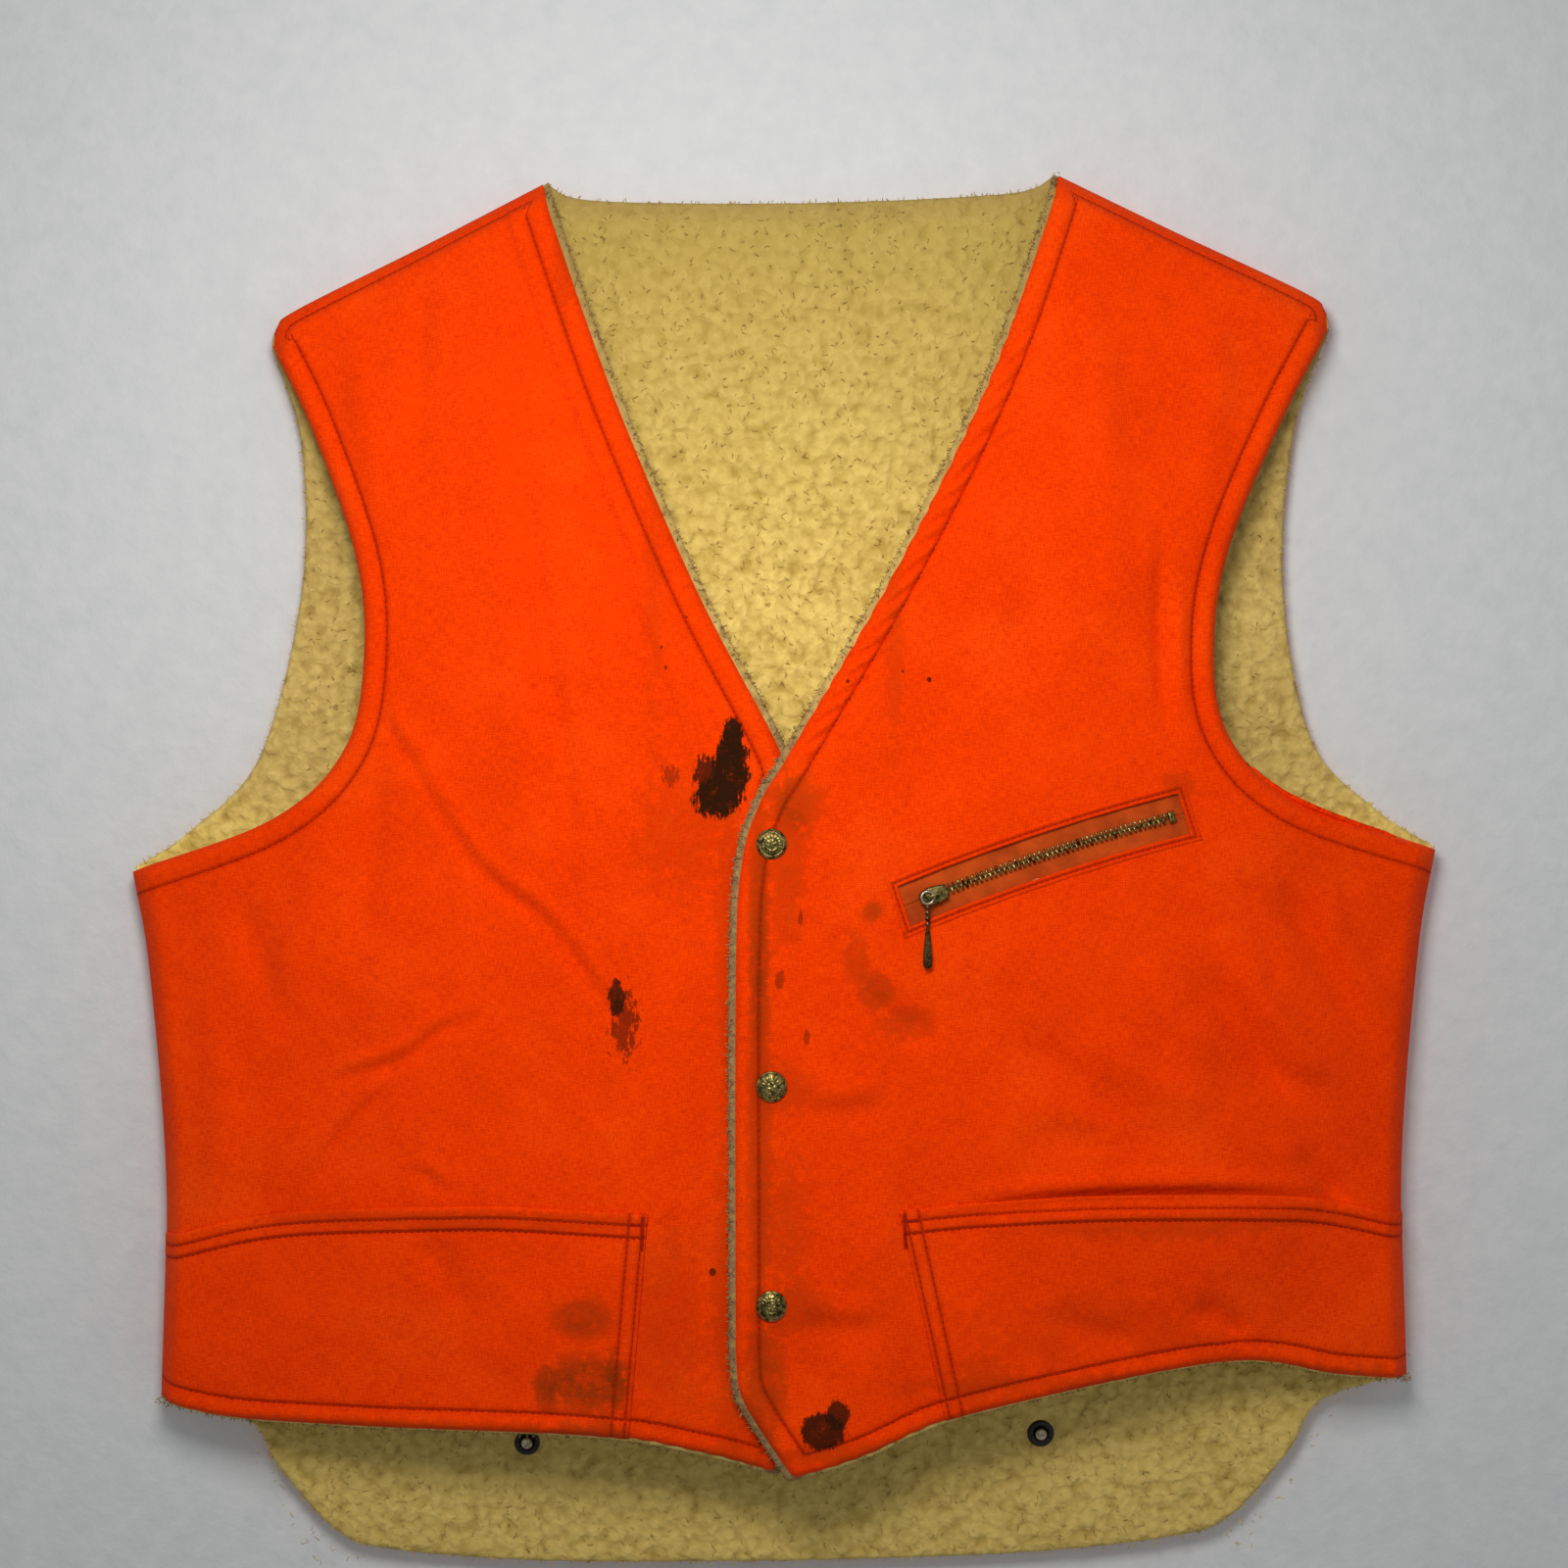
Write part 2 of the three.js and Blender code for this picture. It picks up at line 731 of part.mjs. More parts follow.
function makeZipFixed() {
  const tapeMiddle = zipTapeWidth / 2 + gap / 2;
  const upperTape = zipBlock(tapeLength, zipTapeWidth, tapeFront, tapeBack, 0, tapeMiddle);
  const lowerTape = zipBlock(tapeLength, zipTapeWidth, tapeFront, tapeBack, 0, -tapeMiddle);
  addPiece('zip_tape_upper', upperTape, zipTapeCloth, zipRow);
  addPiece('zip_tape_lower', lowerTape, zipTapeCloth, zipRow);
  addPiece('zip_chain_upper', zipComb(), agedBrass, zipRow);
  const lower = addPiece('zip_chain_lower', zipComb(), agedBrass, zipRow);
  lower.rotation.x = Math.PI;
  lower.position.y = 2 * chainFront + chainThickness;
  const chainEnd = chainStart + Math.floor(chainLength / toothPitch) * toothPitch;
  const stopX = chainEnd + gap + endStopLength / 2;
  const stop = zipBlock(endStopLength, chainWidth + 1, chainFront - gap, tapeFront - gap, stopX);
  addPiece('zip_end_stop', stop, agedBrass, zipRow);
  addPiece('chest_pocket_bag', bagBlock(0), bagCloth, zipFrame);
}

// The slider's front half: a plate over the chain, flanges down both sides and an arch for the pull.
const sliderX = chainStart + 2;
const sliderFront = chainFront - gap - sliderThickness;
const archTop = sliderFront - archRise;

function makeSlider() {
  const shape = new THREE.Shape();
  const half = sliderWidth / 2;
  const widest = -0.1 * sliderLength;
  shape.moveTo(-sliderLength / 2, -sliderNose * half);
  shape.lineTo(widest, -half);
  shape.lineTo(sliderLength / 2, -sliderTail * half);
  shape.lineTo(sliderLength / 2, sliderTail * half);
  shape.lineTo(widest, half);
  shape.lineTo(-sliderLength / 2, sliderNose * half);
  shape.closePath();
  const flangeFoot = tapeFront - gap;
  const body = prism(shape, sliderFront, flangeFoot);
  const channel = toSolid(
    zipBlock(sliderLength + 2, chainWidth + 2 * gap, chainFront - gap, flangeFoot + 1)
  );
  const sunk = 0.2;
  const opening = archLength - 2 * legWidth;
  const arch = toSolid(zipBlock(archLength, legWidth, archTop, sliderFront + sunk));
  const under = toSolid(zipBlock(opening, legWidth + 2, archTop + archWire, sliderFront));
  const slider = addPiece(
    'zip_slider',
    toGeometry(body.subtract(channel).add(arch.subtract(under))),
    agedBrass,
    zipRow
  );
  slider.position.x = sliderX;
}

// The pull hangs straight down: an eye round the arch's leg, a neck and a long paddle.
function makePull() {
  const legOffset = (legWidth - archLength) / 2;
  const eyeBack = sliderFront - gap;
  const shape = new THREE.Shape();
  const open = Math.asin(pullNeck / pullEyeRim);
  const neckFoot = -0.45 * pullLength;
  const paddleEnd = pullEyeRim + pullPaddle - pullLength;
  shape.moveTo(pullNeck, neckFoot);
  shape.absarc(0, 0, pullEyeRim, -Math.PI / 2 + open, 1.5 * Math.PI - open, false);
  shape.lineTo(-pullNeck, neckFoot);
  shape.absarc(0, paddleEnd, pullPaddle, Math.PI, 2 * Math.PI, false);
  const hole = new THREE.Path();
  hole.absarc(0, 0, pullEyeHole, 0, 2 * Math.PI, true);
  shape.holes.push(hole);
  const solid = prism(shape, eyeBack - pullThickness, eyeBack, pullSteps);
  const hanger = new THREE.Group();
  hanger.position.set(sliderX + legOffset, 0, 0);
  hanger.rotation.y = zipAngle;
  zipRow.add(hanger);
  addPiece('zip_pull', toGeometry(solid), agedBrass, hanger);
}

makeBack();
makeLeftFront();
makeRightFront();
makePocket('left', 1, leftDepth, frontOutline(leftOverlap, leftHemRise));
makePocket('right', -1, rightDepth, frontOutline(rightOverlap, 0));
frontSnaps.forEach((snap, index) => makeFrontSnap(snap, index + 1));
makeTailSnap(tailSnaps[0], 'left');
makeTailSnap(tailSnaps[1], 'right');
makeZipFixed();
makeSlider();
makePull();

export default group;
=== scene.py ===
import json
import math

import bpy
import numpy as np
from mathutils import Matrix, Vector


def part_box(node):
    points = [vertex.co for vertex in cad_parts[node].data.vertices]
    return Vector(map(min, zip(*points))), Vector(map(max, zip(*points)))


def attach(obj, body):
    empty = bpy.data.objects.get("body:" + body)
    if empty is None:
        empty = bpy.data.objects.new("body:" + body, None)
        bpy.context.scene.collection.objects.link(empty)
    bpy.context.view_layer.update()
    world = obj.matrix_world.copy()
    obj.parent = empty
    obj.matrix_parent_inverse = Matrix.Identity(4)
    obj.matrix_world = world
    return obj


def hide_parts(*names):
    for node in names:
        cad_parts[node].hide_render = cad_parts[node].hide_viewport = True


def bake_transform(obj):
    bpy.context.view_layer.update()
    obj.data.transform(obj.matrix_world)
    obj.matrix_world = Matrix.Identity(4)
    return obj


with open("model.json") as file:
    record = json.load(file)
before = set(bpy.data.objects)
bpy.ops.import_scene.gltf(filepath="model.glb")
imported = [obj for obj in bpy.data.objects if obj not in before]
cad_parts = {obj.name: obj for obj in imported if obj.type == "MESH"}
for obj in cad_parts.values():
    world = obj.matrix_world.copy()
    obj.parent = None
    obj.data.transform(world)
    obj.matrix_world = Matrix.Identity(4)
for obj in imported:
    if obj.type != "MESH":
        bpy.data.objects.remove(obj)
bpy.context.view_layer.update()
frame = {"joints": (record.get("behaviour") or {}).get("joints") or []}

MM = 0.001

# ---- Cut of the cloth, as in the CAD: half widths and heights below the neck points, in mm ----
HALF_NECK = 131
HALF_SHOULDER = 269
SHOULDER_DROP = 74
HALF_ACROSS_FRONT = 211
HALF_ACROSS_BACK = 249
ARMHOLE_DEPTH = 346
HALF_CHEST = 331
HALF_WAIST = 314
HALF_HEM = 316
SIDE_END = 612
NECK_DEPTH = 291
BACK_NECK_DEPTH = 12
FRONT_LENGTH = 645
TAIL_LENGTH = 702
HALF_TAIL = 197
OVERLAP = {"left": 24, "right": 12}
HEM_RISE = {"left": 24, "right": 0}
POCKET_INNER_TOP = {"left": 56, "right": 66}
POCKET_INNER_FOOT = {"left": 79, "right": 76}
POCKET_TOP = 515
POCKET_TOP_AT_SIDE = 528

# ---- Hang and layers ----
LEAN_TOP, LEAN_FOOT = 6.5, -2
LEAN_FROM, LEAN_TO = -340, -60
TILT = 0.017
FRONT_DEPTH = 60
SHELL = 1.2
PILE_START = 1.6
STACK = 9.5
SIDE_DEPTH = 19.5
OVERLAP_STEP = 5.5
BULGE_WIDTH = 335
BULGE_POWER = 2.5
BULGE_ONSET = 110
FOLD_TOP = 121
FOLD_SLOPE = 0.3237
FOLD_CUT = 23
CAP_SINK = 0.9

# ---- Sewing: the front and the back meet SEAM_MEET from the wall, drawn in over SEAM_REACH ----
EDGE_ROLL = 4.5
SEAM_MEET = 9.7
SEAM_REACH = 14
EDGE_STITCH = 12
HEM_STITCH = 10.5
SHOULDER_STITCH = 7
TOP_ROWS = (6, 12)
INNER_ROWS = (2.5, 9)
STITCH_PITCH = 3.1
STITCH_LENGTH = 2.5
THREAD_WIDTH = 0.8
THREAD_PROUD = 0.2
TACK_PITCH = 0.5
PILE_PROUD = (3.0, 1.4, -1.5)
BACK_PILE_PROUD = 1.5
SEAM_INSET = 3

# ---- Fineness of the meshes, the space between points in mm ----
SHELL_STEP = 3.2
BACK_STEP = 4
PILE_STEP = 3.4
BACK_PILE_STEP = 2.6
TIP = 0.02

SIDES = {"left": 1, "right": -1}
FAR = 99.0
POINTS_AT_ONCE = 4000
random = np.random.default_rng(7)


# ---- Camera ----
def make_camera():
    data = bpy.data.cameras.new("camera")
    data.sensor_width = 36
    data.lens = 51.9
    camera = bpy.data.objects.new("camera", data)
    camera.location = (-0.002, -1.16, -0.307)
    camera.rotation_euler = (math.radians(90), 0, 0)
    bpy.context.collection.objects.link(camera)
    bpy.context.scene.camera = camera


# ---- Small maths ----
def smooth(t):
    held = np.clip(t, 0, 1)
    return held * held * (3 - 2 * held)


def bell(distance, width):
    return np.exp(-((distance / width) ** 2))


# Directions, each made 1 long.
def unit(ways):
    return ways / np.maximum(np.linalg.norm(ways, axis=-1, keepdims=True), 1e-9)


# What lies to the left of each heading.
def left_of(headings):
    return np.stack([-headings[:, 1], headings[:, 0]], axis=1)


# Flat points, of x and z, put at their depths y.
def put_at(points, y):
    return np.stack([points[:, 0], y, points[:, 1]], axis=1)


# The box of a CAD node, as its low and its high corner in mm.
def box_mm(node):
    return np.array(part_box(node)) / MM


# The vest hangs a little askew: leaning sideways towards its top, and tilted.
def lean(z):
    return LEAN_FOOT + (LEAN_TOP - LEAN_FOOT) * smooth((z - LEAN_FROM) / (LEAN_TO - LEAN_FROM))


def hang(points):
    x, z = points[..., 0], points[..., 1]
    return np.stack([x + lean(z), z + TILT * x], axis=-1)


def unhang(points):
    z = points[..., 1] - TILT * points[..., 0]
    return np.stack([points[..., 0] - lean(z), z], axis=-1)


# A smooth curve through the points, given again as points at equal steps.
def curve(points, step=1.0):
    points = np.array(points, float)
    if len(points) > 2:
        padded = np.vstack([2 * points[0] - points[1], points, 2 * points[-1] - points[-2]])
        pieces = []
        t = np.linspace(0, 1, 24, endpoint=False)[:, None]
        for a, b, c, d in zip(padded, padded[1:], padded[2:], padded[3:]):
            pieces.append(
                b + 0.5 * t * (c - a)
                + t**2 * (a - 2.5 * b + 2 * c - 0.5 * d)
                + t**3 * (1.5 * b - 1.5 * c + 0.5 * d - 0.5 * a)
            )
        points = np.vstack([*pieces, points[-1:]])
    return resample(points, max(2, int(lengths(points)[-1] / step)))


def lengths(points):
    return np.concatenate([[0], np.cumsum(np.linalg.norm(np.diff(points, axis=0), axis=1))])


def along(points, places):
    run = lengths(points)
    return np.stack([np.interp(places * run[-1], run, points[:, k]) for k in (0, 1)], axis=1)


def resample(points, count):
    return along(points, np.linspace(0, 1, count + 1))


# The distance from each point to a line, and how far along the line its nearest place is.
def nearest(points, line):
    run = lengths(line)
    best = np.full(len(points), 1e9)
    place = np.zeros(len(points))
    starts, steps = line[:-1], np.diff(line, axis=0)
    squares = np.maximum((steps**2).sum(axis=1), 1e-9)
    for first in range(0, len(points), POINTS_AT_ONCE):
        last = first + POINTS_AT_ONCE
        part = points[first:last]
        away = part[:, None, :] - starts[None]
        t = np.clip((away * steps[None]).sum(axis=2) / squares, 0, 1)
        gaps = np.linalg.norm(away - t[..., None] * steps[None], axis=2)
        k = gaps.argmin(axis=1)
        rows = np.arange(len(part))
        best[first:last] = gaps[rows, k]
        place[first:last] = run[k] + t[rows, k] * np.sqrt(squares[k])
    return best, place


# The distance from each point to the nearest of several lines.
def nearest_of(points, lines):
    gap = np.full(len(points), FAR)
    for line in lines:
        gap = np.minimum(gap, nearest(points, line)[0])
    return gap


# Soft random ups and downs, the same on every run: a sum of waves about one wavelength.
def ripple(x, z, wavelength, seed):
    source = np.random.default_rng(seed)
    total = np.zeros_like(x)
    for _ in range(7):
        heading = source.uniform(0, math.tau)
        scale = wavelength * source.uniform(0.7, 1.5)
        phase = source.uniform(0, math.tau)
        total += np.sin((x * math.cos(heading) + z * math.sin(heading)) * math.tau / scale + phase)
    return total / 3.5


# Rounded lumps about a cell across, as knotted pile has: 1 on top of a lump, 0 between lumps.
def lumps(x, z, cell, seed):
    across = (x + 0.5 * cell * ripple(x, z, 5 * cell, seed)) / cell
    up = (z + 0.5 * cell * ripple(x, z, 5 * cell, seed + 1)) / cell
    column, row = np.floor(across), np.floor(up)
    crowd = np.zeros(x.shape)
    for i in (-1, 0, 1):
        for j in (-1, 0, 1):
            a, b = column + i, row + j
            shift = np.sin(a * 127.1 + b * 311.7 + seed) * 43758.5453
            lift = np.sin(a * 269.5 + b * 183.3 + seed) * 43758.5453
            crowd += np.exp(-9 * np.hypot(across - a - shift % 1, up - b - lift % 1))
    nearest_lump = -np.log(crowd) / 9
    return np.clip(1 - (nearest_lump / 0.72) ** 2, 0, 1)


# ---- Outlines, each edge from its lower or inner end, on the wearer's own side ----
SIDE_EDGE = curve([
    (HALF_HEM, -SIDE_END),
    (HALF_WAIST, 108 - SIDE_END),
    ((HALF_CHEST + HALF_WAIST) / 2, -ARMHOLE_DEPTH - 50),
    (HALF_CHEST, -ARMHOLE_DEPTH),
])
SHOULDER_EDGE = curve([
    (HALF_NECK, 0),
    (HALF_NECK + 60, -30),
    (HALF_SHOULDER - 14, 13 - SHOULDER_DROP),
    (HALF_SHOULDER - 3, 4 - SHOULDER_DROP),
    (HALF_SHOULDER - 1, -6 - SHOULDER_DROP),
])
FRONT_ARMHOLE = curve([
    (HALF_CHEST, -ARMHOLE_DEPTH),
    (HALF_ACROSS_FRONT + 44, 26 - ARMHOLE_DEPTH),
    (HALF_ACROSS_FRONT + 8, 60 - ARMHOLE_DEPTH),
    (HALF_ACROSS_FRONT, 106 - ARMHOLE_DEPTH),
    (HALF_ACROSS_FRONT + 7, -190),
    (HALF_ACROSS_FRONT + 33, -126),
    (HALF_SHOULDER - 1, -6 - SHOULDER_DROP),
])
BACK_ARMHOLE = curve([
    (HALF_CHEST, -ARMHOLE_DEPTH),
    (HALF_ACROSS_BACK + 52, 20 - ARMHOLE_DEPTH),
    (HALF_ACROSS_BACK + 18, 57 - ARMHOLE_DEPTH),
    (HALF_ACROSS_BACK, -207),
    (HALF_ACROSS_BACK + 3, -130),
    (HALF_SHOULDER - 1, -6 - SHOULDER_DROP),
])
TAIL_EDGE = curve([
    (0, -TAIL_LENGTH),
    (0.6 * HALF_TAIL, 2 - TAIL_LENGTH),
    (HALF_TAIL, 9 - TAIL_LENGTH),
    (HALF_TAIL + 30, 19 - TAIL_LENGTH),
    (HALF_TAIL + 59, -SIDE_END - 39),
    (HALF_TAIL + 76, -SIDE_END - 13),
    (HALF_HEM, -SIDE_END),
])
BACK_NECK = curve([
    (0, -BACK_NECK_DEPTH),
    (0.46 * HALF_NECK, 1 - BACK_NECK_DEPTH),
    (0.86 * HALF_NECK, 4 - BACK_NECK_DEPTH),
    (HALF_NECK, 0),
])


def front_hem(name):
    rise = HEM_RISE[name]
    return curve([
        (4, -FRONT_LENGTH),
        (40, 10 - FRONT_LENGTH),
        (95, 21 - FRONT_LENGTH + 0.35 * rise),
        (215, -SIDE_END - 8 + rise),
        (HALF_HEM - 40, -SIDE_END - 6 + 0.5 * rise),
        (HALF_HEM, -SIDE_END),
    ])


def centre_edge(name):
    lap = OVERLAP[name]
    foot = curve([
        (4, -FRONT_LENGTH),
        (4 - lap, 38 - FRONT_LENGTH),
        (-lap, 60 - FRONT_LENGTH),
    ])
    rise = curve([
        (-lap, 60 - FRONT_LENGTH),
        (-lap, -NECK_DEPTH - 110),
        (3 - lap, -NECK_DEPTH - 54),
        (12 - lap, -NECK_DEPTH - 24),
        (2, -NECK_DEPTH),
        (0.36 * HALF_NECK, -0.718 * NECK_DEPTH),
        (0.7 * HALF_NECK, -0.388 * NECK_DEPTH),
        (0.93 * HALF_NECK, -0.103 * NECK_DEPTH),
        (HALF_NECK, 0),
    ])
    return np.vstack([foot, rise[1:]])


def mirror(line, side):
    return line * np.array([side, 1])


def both_halves(line):
    return np.vstack([mirror(line, -1)[::-1], line[1:]])


# Moves an outline's edge outwards from the cloth by some distance.
def spread(line, distance, left_hand):
    normal = left_of(unit(np.gradient(line, axis=0)))
    return line + normal * (distance if left_hand else -distance)


# ---- Depth of the cloth in front of the wall ----
ZIP_AXIS = np.array(next(j for j in frame["joints"] if j["name"] == "zip_slide")["axis"])
ZIP_CENTRE = sum(box_mm(name).mean(axis=0) for name in ("zip_tape_upper", "zip_tape_lower")) / 2
TAPE_DEPTH = 1.4
ZIP_ANGLE = math.asin(ZIP_AXIS[2])
ZIP_SLOPE = ZIP_AXIS[1] / ZIP_AXIS[0]
ZIP_WINDOW = (146, 21)
ZIP_NORMAL = Vector((-ZIP_SLOPE, 1, 0)).normalized()


# How far the hanging fronts stand from the wall: SIDE_DEPTH at the sides and the shoulders,
# growing to FRONT_DEPTH at the middle of the chest.
def reach(points):
    cut = unhang(points)
    beyond = np.maximum(0, np.abs(cut[..., 0]) - HALF_NECK)
    seam = -beyond * SHOULDER_DROP / (HALF_SHOULDER - HALF_NECK)
    below = np.maximum(0, seam - cut[..., 1])
    across = np.maximum(0, 1 - np.abs(cut[..., 0] / BULGE_WIDTH) ** BULGE_POWER)
    return SIDE_DEPTH + (FRONT_DEPTH - SIDE_DEPTH) * across * (1 - np.exp(-below / BULGE_ONSET))


# Places along the zip and across it, from its centre.
def in_zip_frame(points):
    x, z = points[..., 0] - ZIP_CENTRE[0], points[..., 1] - ZIP_CENTRE[2]
    c, s = math.cos(ZIP_ANGLE), math.sin(ZIP_ANGLE)
    return x * c + z * s, z * c - x * s


# 1 at the zip, where the cloth lies flat, falling to 0 away from it.
def zip_flatness(points):
    run, rise = in_zip_frame(points)
    past_end = np.abs(run) - ZIP_WINDOW[0] / 2 - 14
    past_side = np.abs(rise) - ZIP_WINDOW[1] / 2 - 12
    return 1 - smooth(np.maximum(np.maximum(past_end, past_side), 0) / 46)


# The plain hang of the cloth: the left front lies over the right, and flat under the zip.
def base_depth(name, points):
    cut = unhang(points)
    if name == "back":
        return np.zeros(len(points))
    if name == "right":
        return reach(points) - OVERLAP_STEP * (1 - smooth((-cut[:, 0] - 32) / 60))
    lifted = reach(points) + OVERLAP_STEP * (1 - smooth((cut[:, 0] - 16) / 60))
    zip_depth = reach(ZIP_CENTRE[None, ::2])[0]
    flat = zip_depth - ZIP_SLOPE * (points[:, 0] - ZIP_CENTRE[0])
    clear = smooth((points[:, 0] - 14) / 32)
    share = clear * zip_flatness(points)
    return lifted * (1 - share) + flat * share


# Creases of the hanging cloth: points along each, its half width and its height, in mm.
# Where a third number is given, a hollow that share as deep runs along its lower side.
CREASES = {
    "right": [
        ([(-135, -70), (-126, -183), (-116, -260), (-109, -307), (-107, -355), (-97, -450), (-88, -500)],
         5, -1.5, 0),
        ([(-150, -90), (-142, -200), (-130, -300), (-124, -400)], 12, 1.6, 0),
        ([(-100, -150), (-82, -205), (-64, -258), (-52, -300)], 6, -1.6, 0),
        ([(-84, -175), (-66, -225), (-50, -270), (-40, -330)], 6, 1.5, 0),
        ([(-202, -259), (-155, -336), (-116, -369), (-88, -407), (-54, -455)], 4, 1.7, 0.9),
        ([(-80, -412), (-54, -455)], 3, -1.2, 0),
        ([(-236, -450), (-193, -438), (-169, -421), (-145, -414)], 3.4, 1.5, 1.0),
        ([(-240, -505), (-221, -474), (-193, -445)], 3.4, 1.4, 0.8),
        ([(-188, -491), (-174, -495), (-164, -507)], 3, 1.1, 0.9),
        ([(-200, -285), (-207, -355), (-217, -405)], 7, -1.8, 0),
        ([(-221, -321), (-240, -383), (-269, -440)], 9, 2.4, 0.4),
        ([(-282, -350), (-262, -395), (-250, -440)], 9, -2.2, 0),
        ([(-197, -250), (-193, -278), (-176, -296)], 4, 1.3, 1.0),
        ([(-186, -40), (-183, -120), (-188, -170)], 7, -1.5, 0),
        ([(-222, -60), (-212, -120), (-198, -190)], 8, 1.4, 0),
        ([(-70, -480), (-62, -560), (-44, -622)], 9, 1.6, 0.3),
        ([(-44, -350), (-40, -450), (-38, -560)], 7, -1.1, 0),
        ([(-178, -520), (-166, -550), (-150, -575)], 9, -1.8, 0),
        ([(-120, -540), (-132, -575), (-150, -600)], 9, 1.3, 0),
        ([(-290, -400), (-282, -480), (-292, -540)], 10, 1.8, 0),
    ],
    "left": [
        ([(184, -170), (184, -230), (186, -278), (196, -302)], 4.5, -1.9, 0),
        ([(194, -200), (194, -262), (203, -292)], 4.5, 1.6, 0),
        ([(189, -270), (208, -300), (236, -331), (262, -352)], 4, 1.8, 1.0),
        ([(198, -262), (222, -296), (250, -320)], 4, 1.3, 0.8),
        ([(189, -383), (217, -417), (241, -450), (270, -469)], 8, -3.6, 0),
        ([(213, -375), (236, -412), (255, -440), (282, -462)], 8, 2.6, 0),
        ([(165, -390), (190, -420), (216, -452)], 9, 1.8, 0),
        ([(241, -336), (258, -380), (284, -421), (302, -440)], 7, -2.4, 0),
        ([(262, -350), (280, -392), (306, -425)], 7, 1.9, 0),
        ([(250, -486), (268, -505), (284, -520)], 5, -2.6, 0),
        ([(236, -478), (254, -498), (268, -516)], 5, 1.9, 0),
        ([(68, -512), (110, -505), (160, -502), (222, -503), (278, -509)], 4, 2.2, 0.9),
        ([(105, -478), (150, -482), (200, -486)], 9, -1.6, 0),
        ([(18, -368), (30, -394), (46, -414), (76, -438)], 7, -2.6, 0),
        ([(30, -362), (48, -398), (70, -420)], 9, 1.7, 0),
        ([(17, -450), (22, -545), (44, -600)], 8, -1.4, 0),
        ([(48, -470), (46, -540), (58, -600)], 11, 1.5, 0),
        ([(104, -424), (136, -448), (180, -482)], 9, -2.0, 0),
        ([(140, -424), (172, -448), (214, -474)], 9, 1.9, 0),
        ([(125, -560), (150, -576), (176, -578)], 8, -1.9, 0),
        ([(196, -560), (212, -569), (229, -582)], 6, -2.2, 0.6),
        ([(148, -40), (158, -150), (160, -250)], 11, 1.2, 0),
        ([(206, -50), (214, -110), (204, -180)], 9, 1.2, 0),
        ([(120, -60), (118, -200), (112, -290)], 12, -1.0, 0),
        ([(0, -452), (30, -456), (52, -448)], 6, 1.2, 0.6),
        ([(2, -556), (30, -562), (50, -556)], 6, 1.2, 0.6),
        ([(4, -338), (26, -348), (40, -366)], 6, 1.3, 0.6),
    ],
    "back": [
        ([(-250, -350), (-120, -420), (0, -440), (120, -420), (250, -350)], 14, 0.8, 0),
        ([(-90, -80), (-60, -300), (-70, -560)], 16, 0.7, 0),
        ([(100, -80), (70, -300), (80, -560)], 16, 0.7, 0),
    ],
}


CREASE_STRENGTH = 1.7
HOLLOW_OFFSET = 1.9


def creases(name, points):
    total = np.zeros(len(points))
    for line, width, height, hollow in CREASES[name]:
        line = curve(line, 6)
        run = lengths(line)[-1]
        gap, place = nearest(points, line)
        fading = smooth(place / (0.35 * run)) * smooth((run - place) / (0.35 * run))
        total += CREASE_STRENGTH * height * fading * bell(gap, width)
        if hollow:
            gap, place = nearest(points, line - np.array([0, HOLLOW_OFFSET * width]))
            total -= CREASE_STRENGTH * hollow * height * fading * bell(gap, width)
    if name == "left":
        total *= 1 - 0.85 * zip_flatness(points)
    return total


# The sewn edges of each piece where it hangs, as a line, how far it rolls in and where it is
# stitched. The seams to its neighbours have no roll of their own: they are drawn together.
def piece_edges(name):
    if name == "back":
        edges = {
            "neck": (hang(both_halves(BACK_NECK)), EDGE_ROLL, EDGE_STITCH),
            "tail": (hang(both_halves(TAIL_EDGE)), EDGE_ROLL, HEM_STITCH),
        }
        for name, side in SIDES.items():
            edges[f"{name}_arm"] = (hang(mirror(BACK_ARMHOLE, side)), EDGE_ROLL, EDGE_STITCH)
            edges[f"{name}_side"] = (hang(mirror(SIDE_EDGE, side)), None, None)
            edges[f"{name}_shoulder"] = (hang(mirror(SHOULDER_EDGE, side)), None, None)
        return edges
    side = SIDES[name]
    return {
        "centre": (hang(mirror(centre_edge(name), side)), EDGE_ROLL, EDGE_STITCH),
        "arm": (hang(mirror(FRONT_ARMHOLE, side)), EDGE_ROLL, EDGE_STITCH),
        "hem": (hang(mirror(front_hem(name), side)), EDGE_ROLL, HEM_STITCH),
        "side": (hang(mirror(SIDE_EDGE, side)), None, None),
        "shoulder": (hang(mirror(SHOULDER_EDGE, side)), None, SHOULDER_STITCH),
    }


EDGES = {
    name: {
        kind: (resample(line, int(lengths(line)[-1] / 3)), roll, stitch)
        for kind, (line, roll, stitch) in piece_edges(name).items()
    }
    for name in ("left", "right", "back")
}


# 1 at the middle of a tail snap, falling to 0 over about the width given.
def tail_snap_share(points, width):
    share = np.zeros(len(points))
    for side in SIDES:
        gap = np.linalg.norm(points - np.array(snap_place(f"tail_snap_{side}_stud")), axis=1)
        share = np.maximum(share, bell(gap, width))
    return share


# Soft unevenness of the hanging cloth, none at its edges and round the zip. The back also gives
# way by CAP_SINK under the caps of the tail snaps.
def drift(name, points):
    free = nearest_of(points, [line for line, roll, stitch in EDGES[name].values()])
    soft = 1 - bell(free, 10)
    if name == "left":
        soft *= 1 - 0.9 * zip_flatness(points)
    if name == "back":
        soft *= 1 - tail_snap_share(points, 24)
    x, z = points[:, 0], points[:, 1]
    depth = soft * (1.5 * ripple(x, z, 120, 21) + 0.5 * ripple(x, z, 46, 22))
    if name == "back":
        depth -= CAP_SINK * tail_snap_share(points, 9)
    return depth


